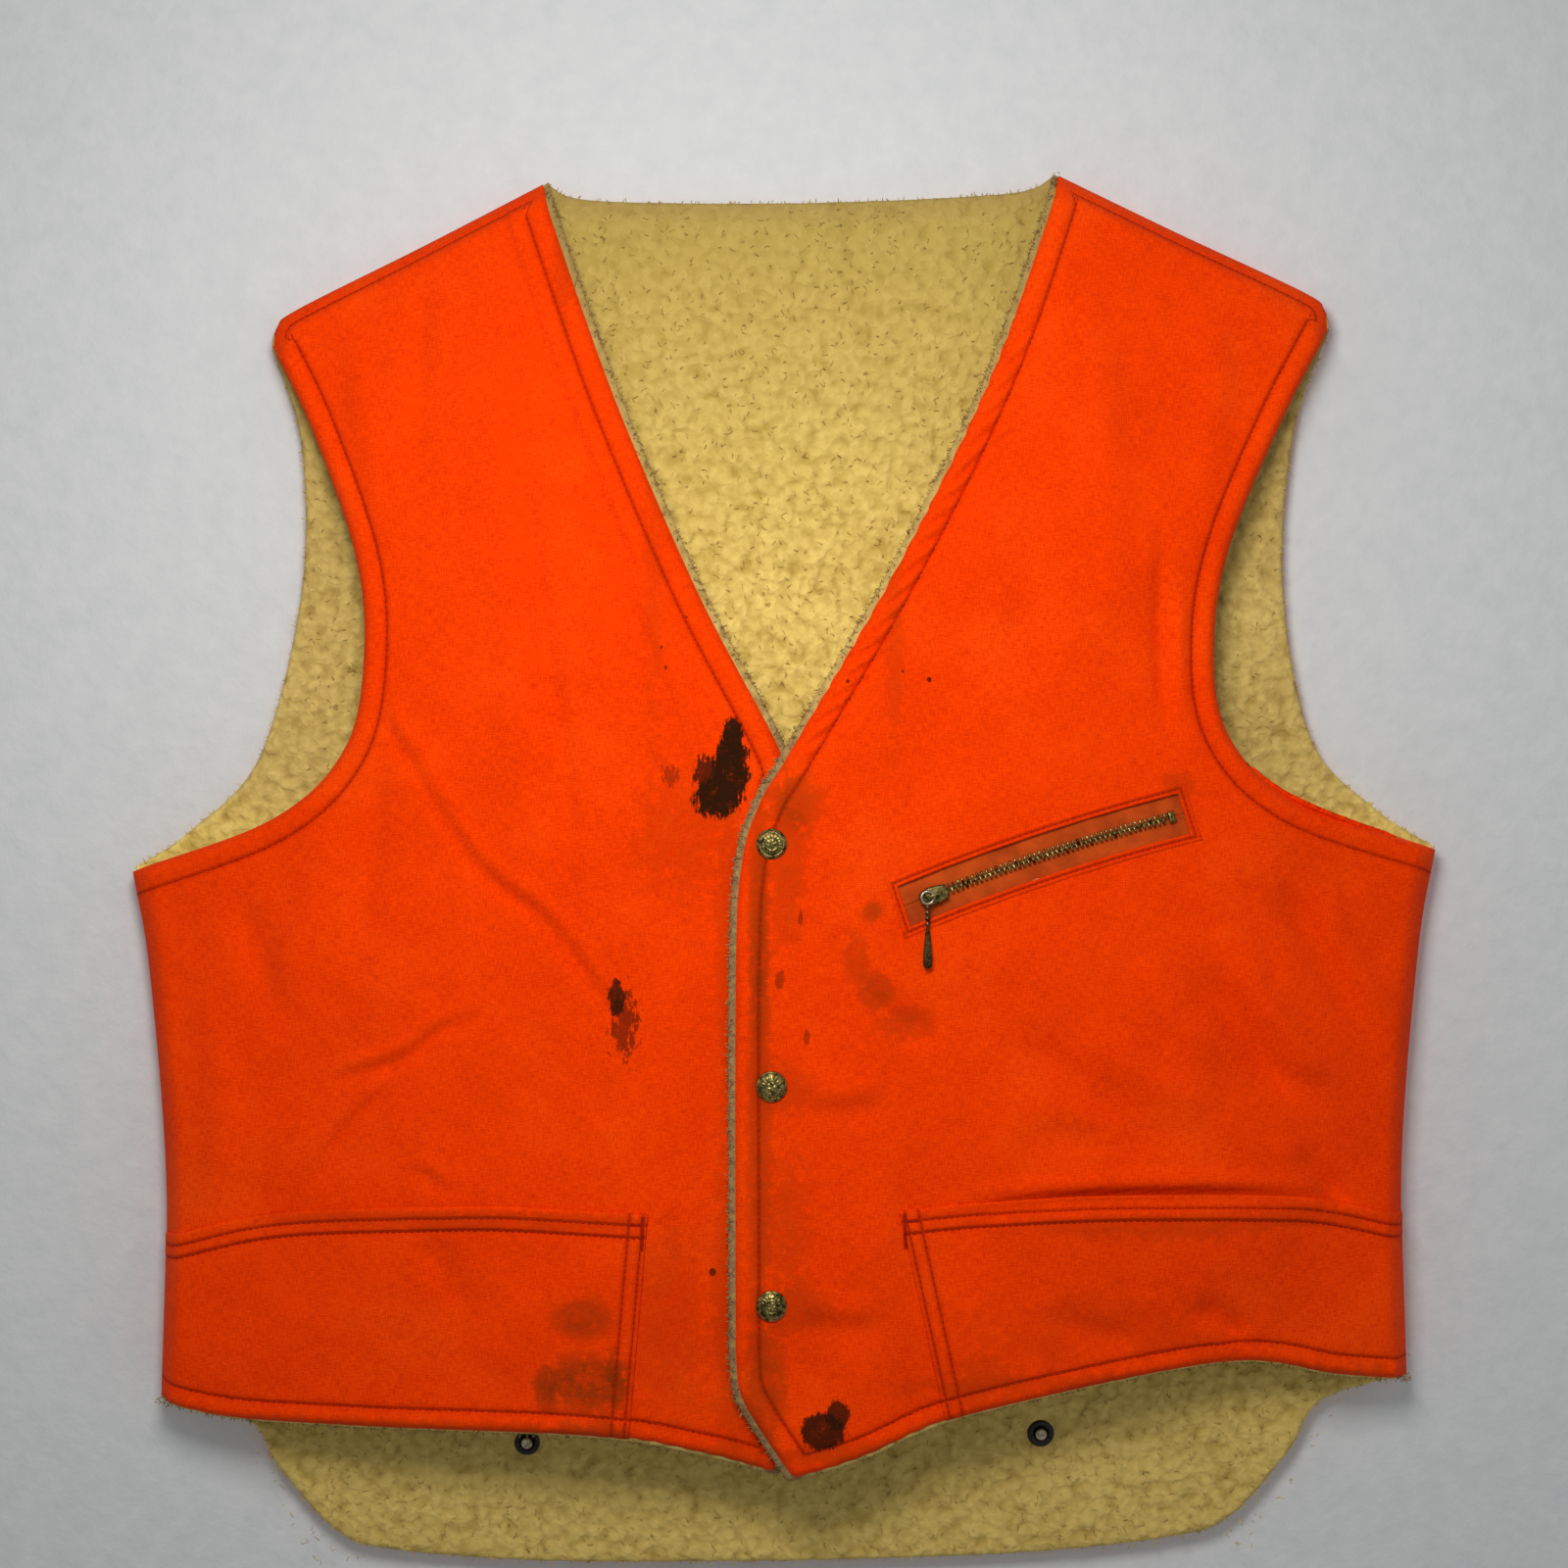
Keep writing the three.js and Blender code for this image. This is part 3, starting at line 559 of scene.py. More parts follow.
# How far the cloth stands from the wall before its sewing and its edges.
def soft_depth(name, points):
    return base_depth(name, points) + creases(name, points) + drift(name, points)


# How far each point is from the stitches along its nearest free edge, to one side or the other.
def seam_distance(name, points):
    near = np.full(len(points), 1e9)
    away = np.full(len(points), 50.0)
    for line, roll, stitch in EDGES[name].values():
        if stitch:
            gap = nearest(points, line)[0]
            away = np.where(gap < near, gap - stitch, away)
            near = np.minimum(gap, near)
    return away


# How much the cloth is drawn in towards the seams at its side and shoulder, where the front
# and the back meet half way.
def seam_pull(name, points, depth, meet):
    gap = nearest_of(points, [line for line, roll, stitch in EDGES[name].values() if roll is None])
    return (depth - meet) * np.clip(1 - gap / SEAM_REACH, 0, 1) ** 2.2, gap


# How far the shell's outer face stands from the wall, with its sewing and creases.
def shell_depth(name, points):
    depth = soft_depth(name, points)
    away = seam_distance(name, points)
    depth -= 0.8 * bell(away, 1.6)
    depth += 0.7 * bell(away + EDGE_STITCH / 2, 3.2)
    free = np.full(len(points), FAR)
    for kind, (line, roll, stitch) in EDGES[name].items():
        gap, place = nearest(points, line)
        free = np.minimum(free, gap)
        if stitch:
            pucker = np.sin(math.tau * place / 9 + 2 * ripple(place, gap, 40, 3))
            depth += 0.28 * pucker * bell(gap - stitch + 3, 6)
        if kind == "centre" and name == "left":
            share = smooth((place - 345) / 60) * (1 - smooth((place - 590) / 60))
            slant = np.sin(math.tau * (place - 1.9 * gap) / 14 + 1.5 * ripple(place, gap, 60, 5))
            depth += 2.1 * share * slant * bell(gap - 8, 6.5)
        if kind == "centre" and name == "right":
            share = smooth((place - 330) / 60)
            depth += share * (1.2 * bell(gap - 19, 3.5) - 0.9 * bell(gap - 24, 3))
        if kind == "hem":
            wave = np.sin(math.tau * place / 10.5 + 1.6 * ripple(place, gap, 50, 9))
            depth += 0.55 * wave * bell(gap - 5, 6)
        if roll:
            depth -= roll * np.clip(1 - gap / roll, 0, 1) ** 2.2
    if name == "back":
        depth = np.clip(depth, -SEAM_MEET, 2)
        return depth - seam_pull(name, points, depth, SHELL - SEAM_MEET)[0]
    depth -= seam_pull(name, points, depth, SEAM_MEET + SHELL)[0]
    return depth + 0.22 * ripple(points[:, 0], points[:, 1], 17, 23) * (1 - bell(free, 10))


# ---- Meshes ----
def add_object(name, vertices, faces, material, smooth_shaded=True):
    mesh = bpy.data.meshes.new(name)
    mesh.from_pydata((np.array(vertices) * MM).tolist(), [], faces)
    mesh.materials.append(material)
    if smooth_shaded:
        mesh.polygons.foreach_set("use_smooth", [True] * len(mesh.polygons))
    mesh.update()
    made = bpy.data.objects.new(name, mesh)
    bpy.context.collection.objects.link(made)
    return made


def cloth_map(made, places):
    layer = made.data.uv_layers.new(name="cloth")
    corners = np.zeros(len(made.data.loops), int)
    made.data.loops.foreach_get("vertex_index", corners)
    layer.data.foreach_set("uv", (places[corners] * MM).ravel())


def store(made, name, values):
    attribute = made.data.attributes.new(name, "FLOAT", "POINT")
    attribute.data.foreach_set("value", values.astype(np.float32))


NEAR_EDGE = np.array([0, 0.6, 1.6, 3, 4.6, 6.4, 8.2, 9.8, 11.2, 12.6, 14, 15.6])


# Steps from 0 to 1 across widths in mm, at the same fine distances from both ends of each.
def fine_ends(widths, count):
    widths = np.asarray(widths, float)[..., None]
    ends = np.minimum(NEAR_EDGE / widths, 0.45 * NEAR_EDGE / NEAR_EDGE[-1])
    inner = ends[..., -1:] + (1 - 2 * ends[..., -1:]) * np.linspace(0, 1, count + 1)[1:-1]
    return np.concatenate([ends, inner, 1 - ends[..., ::-1]], axis=-1)


# A four-sided cloth: points inside its four edges, as rows from bottom to top. corner is the
# share of the way up its outer edge at which that edge turns sharply, if it does.
def four_sided(bottom, top, inner, outer, step, corner=None):
    wide, tall = lengths(bottom)[-1], lengths(outer)[-1]
    across, upwards = int(wide / step), int(tall / step)
    even = fine_ends(tall, upwards)
    if corner is not None:
        even[np.abs(even - corner).argmin()] = corner
    widths = np.linalg.norm(along(outer, even) - along(inner, even), axis=1)
    s = fine_ends(widths, across)
    middle = fine_ends(wide, across)
    heights = np.linalg.norm(along(top, middle) - along(bottom, middle), axis=1)
    t = fine_ends(heights, upwards).T
    if corner is not None:
        share = (even / corner)[:, None]
        row = np.abs(even - corner).argmin()
        bend = corner / t[row]
        t = np.where(share <= 1, t * bend, 1 - (1 - t) * (1 - corner) / (1 - t[row]))
    near, far = (along(line, t.ravel()).reshape(*t.shape, 2) for line in (inner, outer))
    low, high = (along(line, s.ravel()).reshape(*s.shape, 2) for line in (bottom, top))
    s, t = s[..., None], t[..., None]
    ruled = (1 - s) * near + s * far + (1 - t) * low + t * high
    corners = (1 - s) * (1 - t) * bottom[0] + s * (1 - t) * bottom[-1] + (1 - s) * t * top[0]
    return ruled - corners - s * t * top[-1]


def grid_faces(rows, columns, flip=False, first=0):
    a = first + np.arange((rows - 1) * columns).reshape(rows - 1, columns)[:, :-1].ravel()
    quads = np.stack([a, a + 1, a + columns + 1, a + columns], axis=1)
    return (quads[:, ::-1] if flip else quads).tolist()


# Faces between rings of points, each ring closed on itself.
def ring_faces(rings, sides, first=0):
    faces = []
    for r in range(rings - 1):
        for k in range(sides):
            a, b = first + r * sides + k, first + r * sides + (k + 1) % sides
            faces.append((a, b, b + sides, a + sides))
    return faces


def front_points(name, step, proud=(0, 0, 0)):
    at_centre, at_hem, armhole_shade = proud
    side_length, arm_length = lengths(SIDE_EDGE)[-1], lengths(FRONT_ARMHOLE)[-1]
    seam = -SEAM_INSET if any(proud) else 0
    outer = np.vstack([spread(SIDE_EDGE, -seam, True), spread(FRONT_ARMHOLE, -armhole_shade, True)[1:]])
    inner = spread(centre_edge(name), at_centre, True)
    hem = spread(front_hem(name), -at_hem, True)
    shoulder = spread(SHOULDER_EDGE, seam, True)
    inner[0] = hem[0] = (inner[0] + hem[0]) / 2
    outer[0], hem[-1] = hem[-1], hem[-1]
    shoulder[0], inner[-1] = inner[-1], inner[-1]
    shoulder[-1] = outer[-1]
    corner = side_length / (side_length + arm_length)
    places = four_sided(hem, shoulder, inner, outer, step, corner)
    return hang(places * np.array([SIDES[name], 1]))


def back_points(step, proud=0.0):
    side_length, arm_length = lengths(SIDE_EDGE)[-1], lengths(BACK_ARMHOLE)[-1]
    seam = -SEAM_INSET if proud else 0
    shoulder = spread(SHOULDER_EDGE, seam, True)
    half = np.vstack([spread(SIDE_EDGE, -seam, True), spread(BACK_ARMHOLE, -proud, True)[1:]])
    low, high = spread(TAIL_EDGE, -proud, True), spread(BACK_NECK, proud, True)
    half[0], half[-1] = low[-1], shoulder[-1]
    high[-1] = shoulder[0]
    top = np.vstack([high, shoulder[1:]])
    bottom = np.vstack([mirror(low, -1)[::-1], low[1:]])
    top = np.vstack([mirror(top, -1)[::-1], top[1:]])
    corner = side_length / (side_length + arm_length)
    return hang(four_sided(bottom, top, mirror(half, -1), half, step, corner))


def bend_with_front(made):
    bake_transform(made)


# ---- Materials ----
class Nodes:
    def __init__(self, name):
        self.material = bpy.data.materials.new(name)
        self.material.use_nodes = True
        self.tree = self.material.node_tree
        self.shader = self.tree.nodes["Principled BSDF"]

    def add(self, kind, **values):
        node = self.tree.nodes.new(kind)
        for key, value in values.items():
            setattr(node, key, value)
        return node

    def join(self, source, target):
        self.tree.links.new(source, target)

    # Gives a socket a number, a colour or what another node puts out.
    def feed(self, value, socket):
        if isinstance(value, tuple):
            socket.default_value = (*value, 1)
        elif isinstance(value, (int, float)):
            socket.default_value = value
        else:
            self.join(value, socket)

    def maths(self, operation, a, b=None):
        node = self.add("ShaderNodeMath", operation=operation)
        for socket, value in zip(node.inputs, (a, b)):
            if value is not None:
                self.feed(value, socket)
        return node.outputs[0]

    # Several values added up, each with its own weight.
    def weighted(self, *terms):
        total = None
        for value, weight in terms:
            part = self.maths("MULTIPLY", value, weight)
            total = part if total is None else self.maths("ADD", total, part)
        return total

    def vector(self, operation, a, b=None):
        node = self.add("ShaderNodeVectorMath", operation=operation)
        self.join(a, node.inputs[0])
        if isinstance(b, tuple):
            node.inputs[1].default_value = b
        elif b is not None:
            self.join(b, node.inputs[1])
        return node.outputs["Value" if operation == "LENGTH" else "Vector"]

    def attribute(self, name):
        return self.add("ShaderNodeAttribute", attribute_name=name).outputs["Fac"]

    def cloth_place(self, scale=(1, 1, 1)):
        source = self.add("ShaderNodeUVMap", uv_map="cloth")
        mapping = self.add("ShaderNodeMapping")
        mapping.inputs["Scale"].default_value = scale
        self.join(source.outputs[0], mapping.inputs[0])
        return mapping.outputs[0]

    def object_place(self):
        return self.add("ShaderNodeTexCoord").outputs["Object"]

    def noise(self, place, scale, detail=3, roughness=0.55):
        node = self.add("ShaderNodeTexNoise")
        node.inputs["Scale"].default_value = scale
        node.inputs["Detail"].default_value = detail
        node.inputs["Roughness"].default_value = roughness
        self.join(place, node.inputs["Vector"])
        return node.outputs[0]

    def ranged(self, value, low, high, to_low=0.0, to_high=1.0):
        node = self.add("ShaderNodeMapRange")
        self.join(value, node.inputs[0])
        for socket, number in zip(node.inputs[1:5], (low, high, to_low, to_high)):
            socket.default_value = number
        return node.outputs[0]

    def mix(self, share, a, b):
        node = self.add("ShaderNodeMix", data_type="RGBA")
        sockets = [node.inputs[0], node.inputs[6], node.inputs[7]]
        for socket, value in zip(sockets, (share, a, b)):
            self.feed(value, socket)
        return node.outputs[2]

    # How far a place is from a row of stitches, which lies at some distance from an edge.
    def row_distance(self, edge, row):
        return self.maths("ABSOLUTE", self.maths("SUBTRACT", self.attribute(edge), row))

    def bump(self, height, strength, distance, below=None):
        node = self.add("ShaderNodeBump")
        node.inputs["Strength"].default_value = strength
        node.inputs["Distance"].default_value = distance
        self.join(height, node.inputs["Height"])
        if below is not None:
            self.join(below, node.inputs["Normal"])
        return node.outputs[0]

    def finish(self, colour, roughness, normal=None, **shader_values):
        self.feed(colour, self.shader.inputs["Base Color"])
        self.feed(roughness, self.shader.inputs["Roughness"])
        if normal is not None:
            self.join(normal, self.shader.inputs["Normal"])
        for name, value in shader_values.items():
            self.shader.inputs[name.replace("_", " ")].default_value = value
        return self.material


# A mark on the cloth: 1 inside a ragged ellipse, 0 outside, at a place and size in mm.
def stain_mask(nodes, place, x, z, width, height, ragged, grain, softness):
    away = nodes.vector("SUBTRACT", place, (x * MM, z * MM, 0))
    shares = nodes.vector("MULTIPLY", away, (1 / (width * MM), 1 / (height * MM), 0))
    torn = nodes.maths("MULTIPLY", nodes.maths("SUBTRACT", grain, 0.5), ragged)
    edge = nodes.maths("ADD", nodes.vector("LENGTH", shares), torn)
    return nodes.ranged(edge, 1 + softness, 1 - softness)


# Marks: x, z, half width, half height, raggedness, strength.
TAR_MARKS = {
    "left": [
        (17, -621, 11, 9, 1.4, 0.95), (24, -613, 6, 7, 1.4, 0.9), (-4, -402, 2, 5, 3.0, 0.5),
        (69, -256, 1.1, 1.3, 0.6, 0.9), (29, -257, 0.9, 1.1, 0.6, 0.8), (56, -252, 0.7, 0.8, 0.6, 0.7),
        (9, -430, 1.5, 4, 3.0, 0.5), (6, -372, 1.4, 3, 3.0, 0.5), (-7, -300, 1.6, 4, 3.0, 0.5),
    ],
    "right": [
        (-28, -300, 9, 17, 1.8, 1.0), (-35, -314, 11, 10, 2.2, 1.0), (-27, -283, 5, 9, 1.8, 1.0),
        (-40, -302, 6, 9, 3.5, 0.9), (-58, -303, 4, 5, 5.0, 0.5), (-84, -412, 4, 9, 3.2, 0.9),
        (-80, -424, 6, 14, 6.0, 0.7), (-37, -546, 1.7, 2.0, 0.6, 0.8), (-60, -250, 0.8, 1, 0.6, 0.7),
        (-62, -240, 0.8, 0.8, 0.6, 0.7), (-50, -225, 0.7, 0.7, 0.6, 0.6),
    ],
}
# Soil marks. On the left front the first four paint the shade of the diagonal crease there, over real
# soil.
SOIL_AND_SHADE_MARKS = {
    "left": [
        (41, -369, 5, 5, 1.6, 0.6), (33, -392, 6, 13, 2.0, 0.4), (43, -408, 9, 9, 1.8, 0.55),
        (58, -424, 14, 8, 2.2, 0.4),
        (-14, -372, 5, 60, 1.4, 0.6), (-14, -470, 6, 110, 1.8, 0.5), (-11, -600, 10, 30, 1.8, 0.6),
        (30, -632, 40, 5, 2.0, 0.45), (4, -316, 13, 14, 2.0, 0.5), (0, -340, 9, 40, 2.4, 0.4),
        (52, -225, 5, 60, 2.0, 0.25), (192, -308, 8, 6, 2.4, 0.4), (-3, -455, 14, 12, 2.2, 0.35),
        (120, -600, 60, 5, 2.4, 0.35), (4, -560, 16, 12, 2.2, 0.4), (0, -520, 10, 30, 2.8, 0.3),
    ],
    "right": [
        (-28, -560, 8, 80, 2.6, 0.3), (-60, -575, 20, 44, 2.6, 0.22), (-28, -390, 7, 80, 2.4, 0.3),
        (-40, -636, 44, 6, 2.2, 0.4), (-112, -30, 5, 44, 2.4, 0.3), (-52, -330, 20, 30, 3.0, 0.25),
        (-200, -618, 90, 5, 2.6, 0.35), (-66, -178, 5, 110, 2.6, 0.2),
    ],
    "left_pocket": [
        (92, -600, 18, 12, 2.4, 0.3), (190, -600, 120, 5, 2.4, 0.35), (200, -522, 90, 6, 2.6, 0.3),
        (150, -575, 60, 16, 3.4, 0.16),
    ],
    "right_pocket": [
        (-100, -567, 15, 10, 1.2, 0.62), (-98, -599, 22, 14, 1.4, 0.8), (-118, -602, 6, 11, 1.6, 0.7),
        (-84, -596, 5, 14, 2.4, 0.6), (-160, -520, 120, 5, 2.6, 0.3), (-95, -624, 26, 6, 2.0, 0.6),
        (-190, -622, 90, 4, 2.6, 0.35),
    ],
    "back": [(0, -690, 120, 10, 3.4, 0.3), (0, -20, 90, 8, 3.0, 0.3)],
}
ORANGE = (1.0, 0.056, 0.0008)
ORANGE_DEEP = (0.72, 0.027, 0.0005)
ORANGE_FADED = (1.0, 0.085, 0.004)
SEAM_SHADE = (0.42, 0.010, 0.0004)
TAR = (0.020, 0.008, 0.003)
SOIL_AND_SHADE = (0.17, 0.030, 0.003)
SOIL_AND_SHADE_RAGGED = 1.6
SOIL_AND_SHADE_SOFTNESS = 0.28
TAR_SOFTNESS = 0.08


def duck_material(name, marks):
    nodes = Nodes(name)
    place = nodes.cloth_place()
    warp = nodes.noise(nodes.cloth_place((2.8, 0.35, 1)), 700, 2, 0.6)
    weft = nodes.noise(nodes.cloth_place((0.35, 2.8, 1)), 700, 2, 0.6)
    threads = nodes.maths("MULTIPLY", nodes.maths("ADD", warp, weft), 0.5)
    fine = nodes.ranged(threads, 0.38, 0.62)
    slub = nodes.noise(place, 130, 3, 0.7)
    cloud = nodes.noise(place, 22, 4, 0.6)
    tone = nodes.weighted((fine, 0.7), (slub, 0.4), (cloud, 0.5))
    colour = nodes.mix(nodes.ranged(tone, 0.4, 1.05), ORANGE_DEEP, ORANGE)
    faded = nodes.ranged(nodes.noise(place, 11, 4, 0.6), 0.52, 0.72, 0, 0.7)
    colour = nodes.mix(nodes.maths("MULTIPLY", faded, fine), colour, ORANGE_FADED)
    seam = nodes.row_distance("seam", 0)
    if marks.endswith("pocket"):
        for edge, rows in (("top", TOP_ROWS), ("inner", INNER_ROWS)):
            for row in rows:
                seam = nodes.maths("MINIMUM", seam, nodes.row_distance(edge, row))
    # Painted shade: the cloth is darkened along each stitch row, and faintly over the pulled cloth
    # beside it, as the shade in the seam's groove.
    stitch_groove_shade = nodes.ranged(seam, 0.2, 0.7, 0.45, 0.0)
    pulled_cloth_shade = nodes.ranged(seam, 0.5, 3.2, 0.2, 0.0)
    colour = nodes.mix(nodes.maths("ADD", stitch_groove_shade, pulled_cloth_shade), colour, SEAM_SHADE)
    ragged = nodes.noise(place, 130, 5, 0.75)
    torn = nodes.noise(nodes.cloth_place((2.2, 0.8, 1)), 200, 5, 0.8)
    grain = nodes.maths("ADD", threads, ragged)
    speckle = nodes.ranged(grain, 0.86, 1.08, 0.25, 1.0)
    solid = nodes.ranged(grain, 0.72, 0.95, 0.7, 1.0)
    # The first kind is soil with some painted crease shade, the second is tar.
    kinds = (
        (SOIL_AND_SHADE_MARKS[marks], SOIL_AND_SHADE, SOIL_AND_SHADE_RAGGED, SOIL_AND_SHADE_SOFTNESS, ragged, speckle),
        (TAR_MARKS.get(marks, []), TAR, 1, TAR_SOFTNESS, torn, solid),
    )
    for spots, tint, raggedness, softness, edge_noise, cover in kinds:
        for x, z, width, height, own, strength in spots:
            mask = stain_mask(
                nodes, place, x, z, width, height, raggedness * own, edge_noise, softness
            )
            share = nodes.maths("MULTIPLY", nodes.maths("MULTIPLY", mask, strength), cover)
            colour = nodes.mix(share, colour, tint)
    rough = nodes.ranged(threads, 0.2, 0.8, 0.72, 0.92)
    normal = nodes.bump(slub, 0.3, 0.0012, nodes.bump(threads, 0.8, 0.0006))
    normal = nodes.bump(nodes.ranged(seam, 0.0, 1.3), 0.8, 0.0009, normal)
    return nodes.finish(
        colour, rough, normal,
        Sheen_Weight=0.12, Sheen_Roughness=0.5, Sheen_Tint=(1.0, 0.16, 0.01, 1),
        Specular_IOR_Level=0.2, Specular_Tint=(1.0, 0.12, 0.01, 1),
    )


# How far the curls of the pile stray from their even cells, in m.
PILE_SWIRL = (0.007, 0.007, 0.007)


def sherpa_material():
    nodes = Nodes("sherpa")
    place = nodes.cloth_place()
    heap, soil = nodes.attribute("heap"), nodes.attribute("soil")
    swirl = nodes.add("ShaderNodeTexNoise")
    swirl.inputs["Scale"].default_value = 120
    nodes.join(place, swirl.inputs["Vector"])
    warped = nodes.vector("ADD", place, nodes.vector("MULTIPLY", swirl.outputs["Color"], PILE_SWIRL))
    pebbles = []
    for scale in (180, 370):
        cells = nodes.add("ShaderNodeTexVoronoi", feature="SMOOTH_F1")
        cells.inputs["Scale"].default_value = scale
        cells.inputs["Smoothness"].default_value = 0.55
        nodes.join(warped, cells.inputs["Vector"])
        near = nodes.maths("MULTIPLY", cells.outputs["Distance"], 1.25)
        pebbles.append(nodes.maths("SUBTRACT", 1.0, nodes.maths("MULTIPLY", near, near)))
    fibre = nodes.noise(place, 1300, 3, 0.7)
    cloud = nodes.noise(place, 16, 4, 0.6)
    # Painted shade with random tone: the pile is darker between its pebbles and where its lumps (heap)
    # are low, as the shade in its crevices, and varies at random with fibre and cloud.
    crevice_shade_and_tone = nodes.weighted(
        (pebbles[0], 0.5), (heap, 0.25), (pebbles[1], 0.15), (fibre, 0.3), (cloud, 0.35)
    )
    colour = nodes.mix(nodes.ranged(crevice_shade_and_tone, 0.45, 1.2), (0.54, 0.35, 0.065), (1.0, 0.73, 0.21))
    split = nodes.add("ShaderNodeSeparateXYZ")
    nodes.join(place, split.inputs[0])
    # Painted shade: the pile is coloured darker towards the neck and darker still at the foot of the
    # tail, where less light reaches and the fronts shade the tail.
    collar_shade = nodes.ranged(split.outputs["Y"], -0.22, -0.03, 0, 0.75)
    tail = nodes.ranged(split.outputs["Y"], -0.56, -0.64, 0, 0.4)
    colour = nodes.mix(collar_shade, colour, (0.40, 0.275, 0.06))
    colour = nodes.mix(tail, colour, (0.34, 0.24, 0.07))
    # soil darkens the pile: grime at its edges, and painted shade in the back lining's snap dents and
    # armholes.
    smudge = nodes.ranged(nodes.noise(place, 260, 4, 0.7), 0.35, 0.65, 0.7, 1.0)
    colour = nodes.mix(nodes.maths("MULTIPLY", soil, smudge), colour, (0.23, 0.125, 0.062))
    normal = nodes.bump(fibre, 0.5, 0.0009)
    normal = nodes.bump(pebbles[1], 0.35, 0.0011, normal)
    normal = nodes.bump(pebbles[0], 0.4, 0.0024, normal)
    return nodes.finish(
        colour, 0.95, normal, Specular_IOR_Level=0.05,
        Sheen_Weight=0.12, Sheen_Roughness=0.6, Sheen_Tint=(1.0, 0.85, 0.5, 1),
    )


def thread_material():
    nodes = Nodes("thread")
    twist = nodes.noise(nodes.object_place(), 2600, 2, 0.5)
    colour = nodes.mix(nodes.ranged(twist, 0.3, 0.7), (0.26, 0.008, 0.003), (0.50, 0.022, 0.006))
    return nodes.finish(
        colour, 0.8, nodes.bump(twist, 0.4, 0.0002),
        Specular_IOR_Level=0.15, Specular_Tint=(1.0, 0.25, 0.06, 1),
    )


def brass_material(name="brass", bright=(0.42, 0.32, 0.10), dark=(0.022, 0.018, 0.007)):
    nodes = Nodes(name)
    place = nodes.object_place()
    patina = nodes.noise(place, 420, 4, 0.65)
    speckle = nodes.noise(place, 2600, 3, 0.6)
    share = nodes.ranged(patina, 0.38, 0.66)
    colour = nodes.mix(share, dark, bright)
    colour = nodes.mix(nodes.ranged(speckle, 0.58, 0.7, 0, 0.5), colour, dark)
    rough = nodes.ranged(patina, 0.3, 0.7, 0.5, 0.26)
    return nodes.finish(colour, rough, nodes.bump(speckle, 0.15, 0.0002), Metallic=1.0)


def enamel_material():
    nodes = Nodes("black_enamel")
    speckle = nodes.noise(nodes.object_place(), 1200, 3, 0.6)
    colour = nodes.mix(nodes.ranged(speckle, 0.55, 0.75), (0.012, 0.011, 0.010), (0.07, 0.06, 0.05))
    rough = nodes.ranged(speckle, 0.3, 0.7, 0.28, 0.45)
    return nodes.finish(colour, rough, nodes.bump(speckle, 0.1, 0.0002), Metallic=0.4)


def tape_material():
    nodes = Nodes("zip_tape")
    place = nodes.object_place()
    rib = nodes.add("ShaderNodeTexWave", bands_direction="DIAGONAL")
    rib.inputs["Scale"].default_value = 330
    rib.inputs["Distortion"].default_value = 1.5
    nodes.join(place, rib.inputs["Vector"])
    soil = nodes.noise(place, 60, 4, 0.6)
    colour = nodes.mix(nodes.ranged(soil, 0.35, 0.65), (0.40, 0.045, 0.004), (0.66, 0.080, 0.006))
    colour = nodes.mix(nodes.maths("MULTIPLY", rib.outputs["Fac"], 0.25), colour, (0.16, 0.03, 0.006))
    normal = nodes.bump(rib.outputs["Fac"], 0.3, 0.0003)
    return nodes.finish(colour, 0.9, normal, Specular_IOR_Level=0.1)


def twill_material():
    nodes = Nodes("bag_twill")
    place = nodes.cloth_place()
    rib = nodes.add("ShaderNodeTexWave", bands_direction="DIAGONAL")
    rib.inputs["Scale"].default_value = 300
    nodes.join(place, rib.inputs["Vector"])
    colour = nodes.mix(rib.outputs["Fac"], (0.55, 0.46, 0.28), (0.70, 0.61, 0.40))
    return nodes.finish(colour, 0.9, nodes.bump(rib.outputs["Fac"], 0.3, 0.0003))


SHERPA = sherpa_material()
THREAD = thread_material()
BRASS = brass_material()
PALE_BRASS = brass_material("worn_brass", (0.62, 0.55, 0.36), (0.16, 0.13, 0.08))
BRONZE = brass_material("dark_bronze", (0.20, 0.11, 0.045), (0.035, 0.014, 0.005))
ENAMEL = enamel_material()
TAPE = tape_material()
TWILL = twill_material()
DUCK = {name: duck_material(f"duck_{name}", name) for name in SOIL_AND_SHADE_MARKS}


# ---- Shells ----
# Thickens a face towards the side away from its normals.
def solidify(made, thickness):
    modifier = made.modifiers.new("thickness", "SOLIDIFY")
    modifier.thickness = thickness * MM
    modifier.offset = -1
    modifier.use_even_offset = False


def sheet_object(name, places, y, material, flip, thickness):
    rows, columns = places.shape[:2]
    flat = places.reshape(-1, 2)
    made = add_object(name, put_at(flat, y), grid_faces(rows, columns, flip), material)
    cloth_map(made, flat)
    solidify(made, thickness)
    return made


# The window and the zip curve upwards between their ends, and pass through the slider's place.
def window_bow(run):
    return 2.6 * (1 - (np.clip(run, -80, 80) / (ZIP_WINDOW[0] / 2)) ** 2) - 1.0


# How far points are outside the zip's window.
def outside_window(points):
    run, rise = in_zip_frame(points)
    past_side = np.abs(rise - window_bow(run)) - ZIP_WINDOW[1] / 2
    return np.maximum(np.abs(run) - ZIP_WINDOW[0] / 2, past_side)


WINDOW_CUT = 1.7
WINDOW_STITCH = 1.9


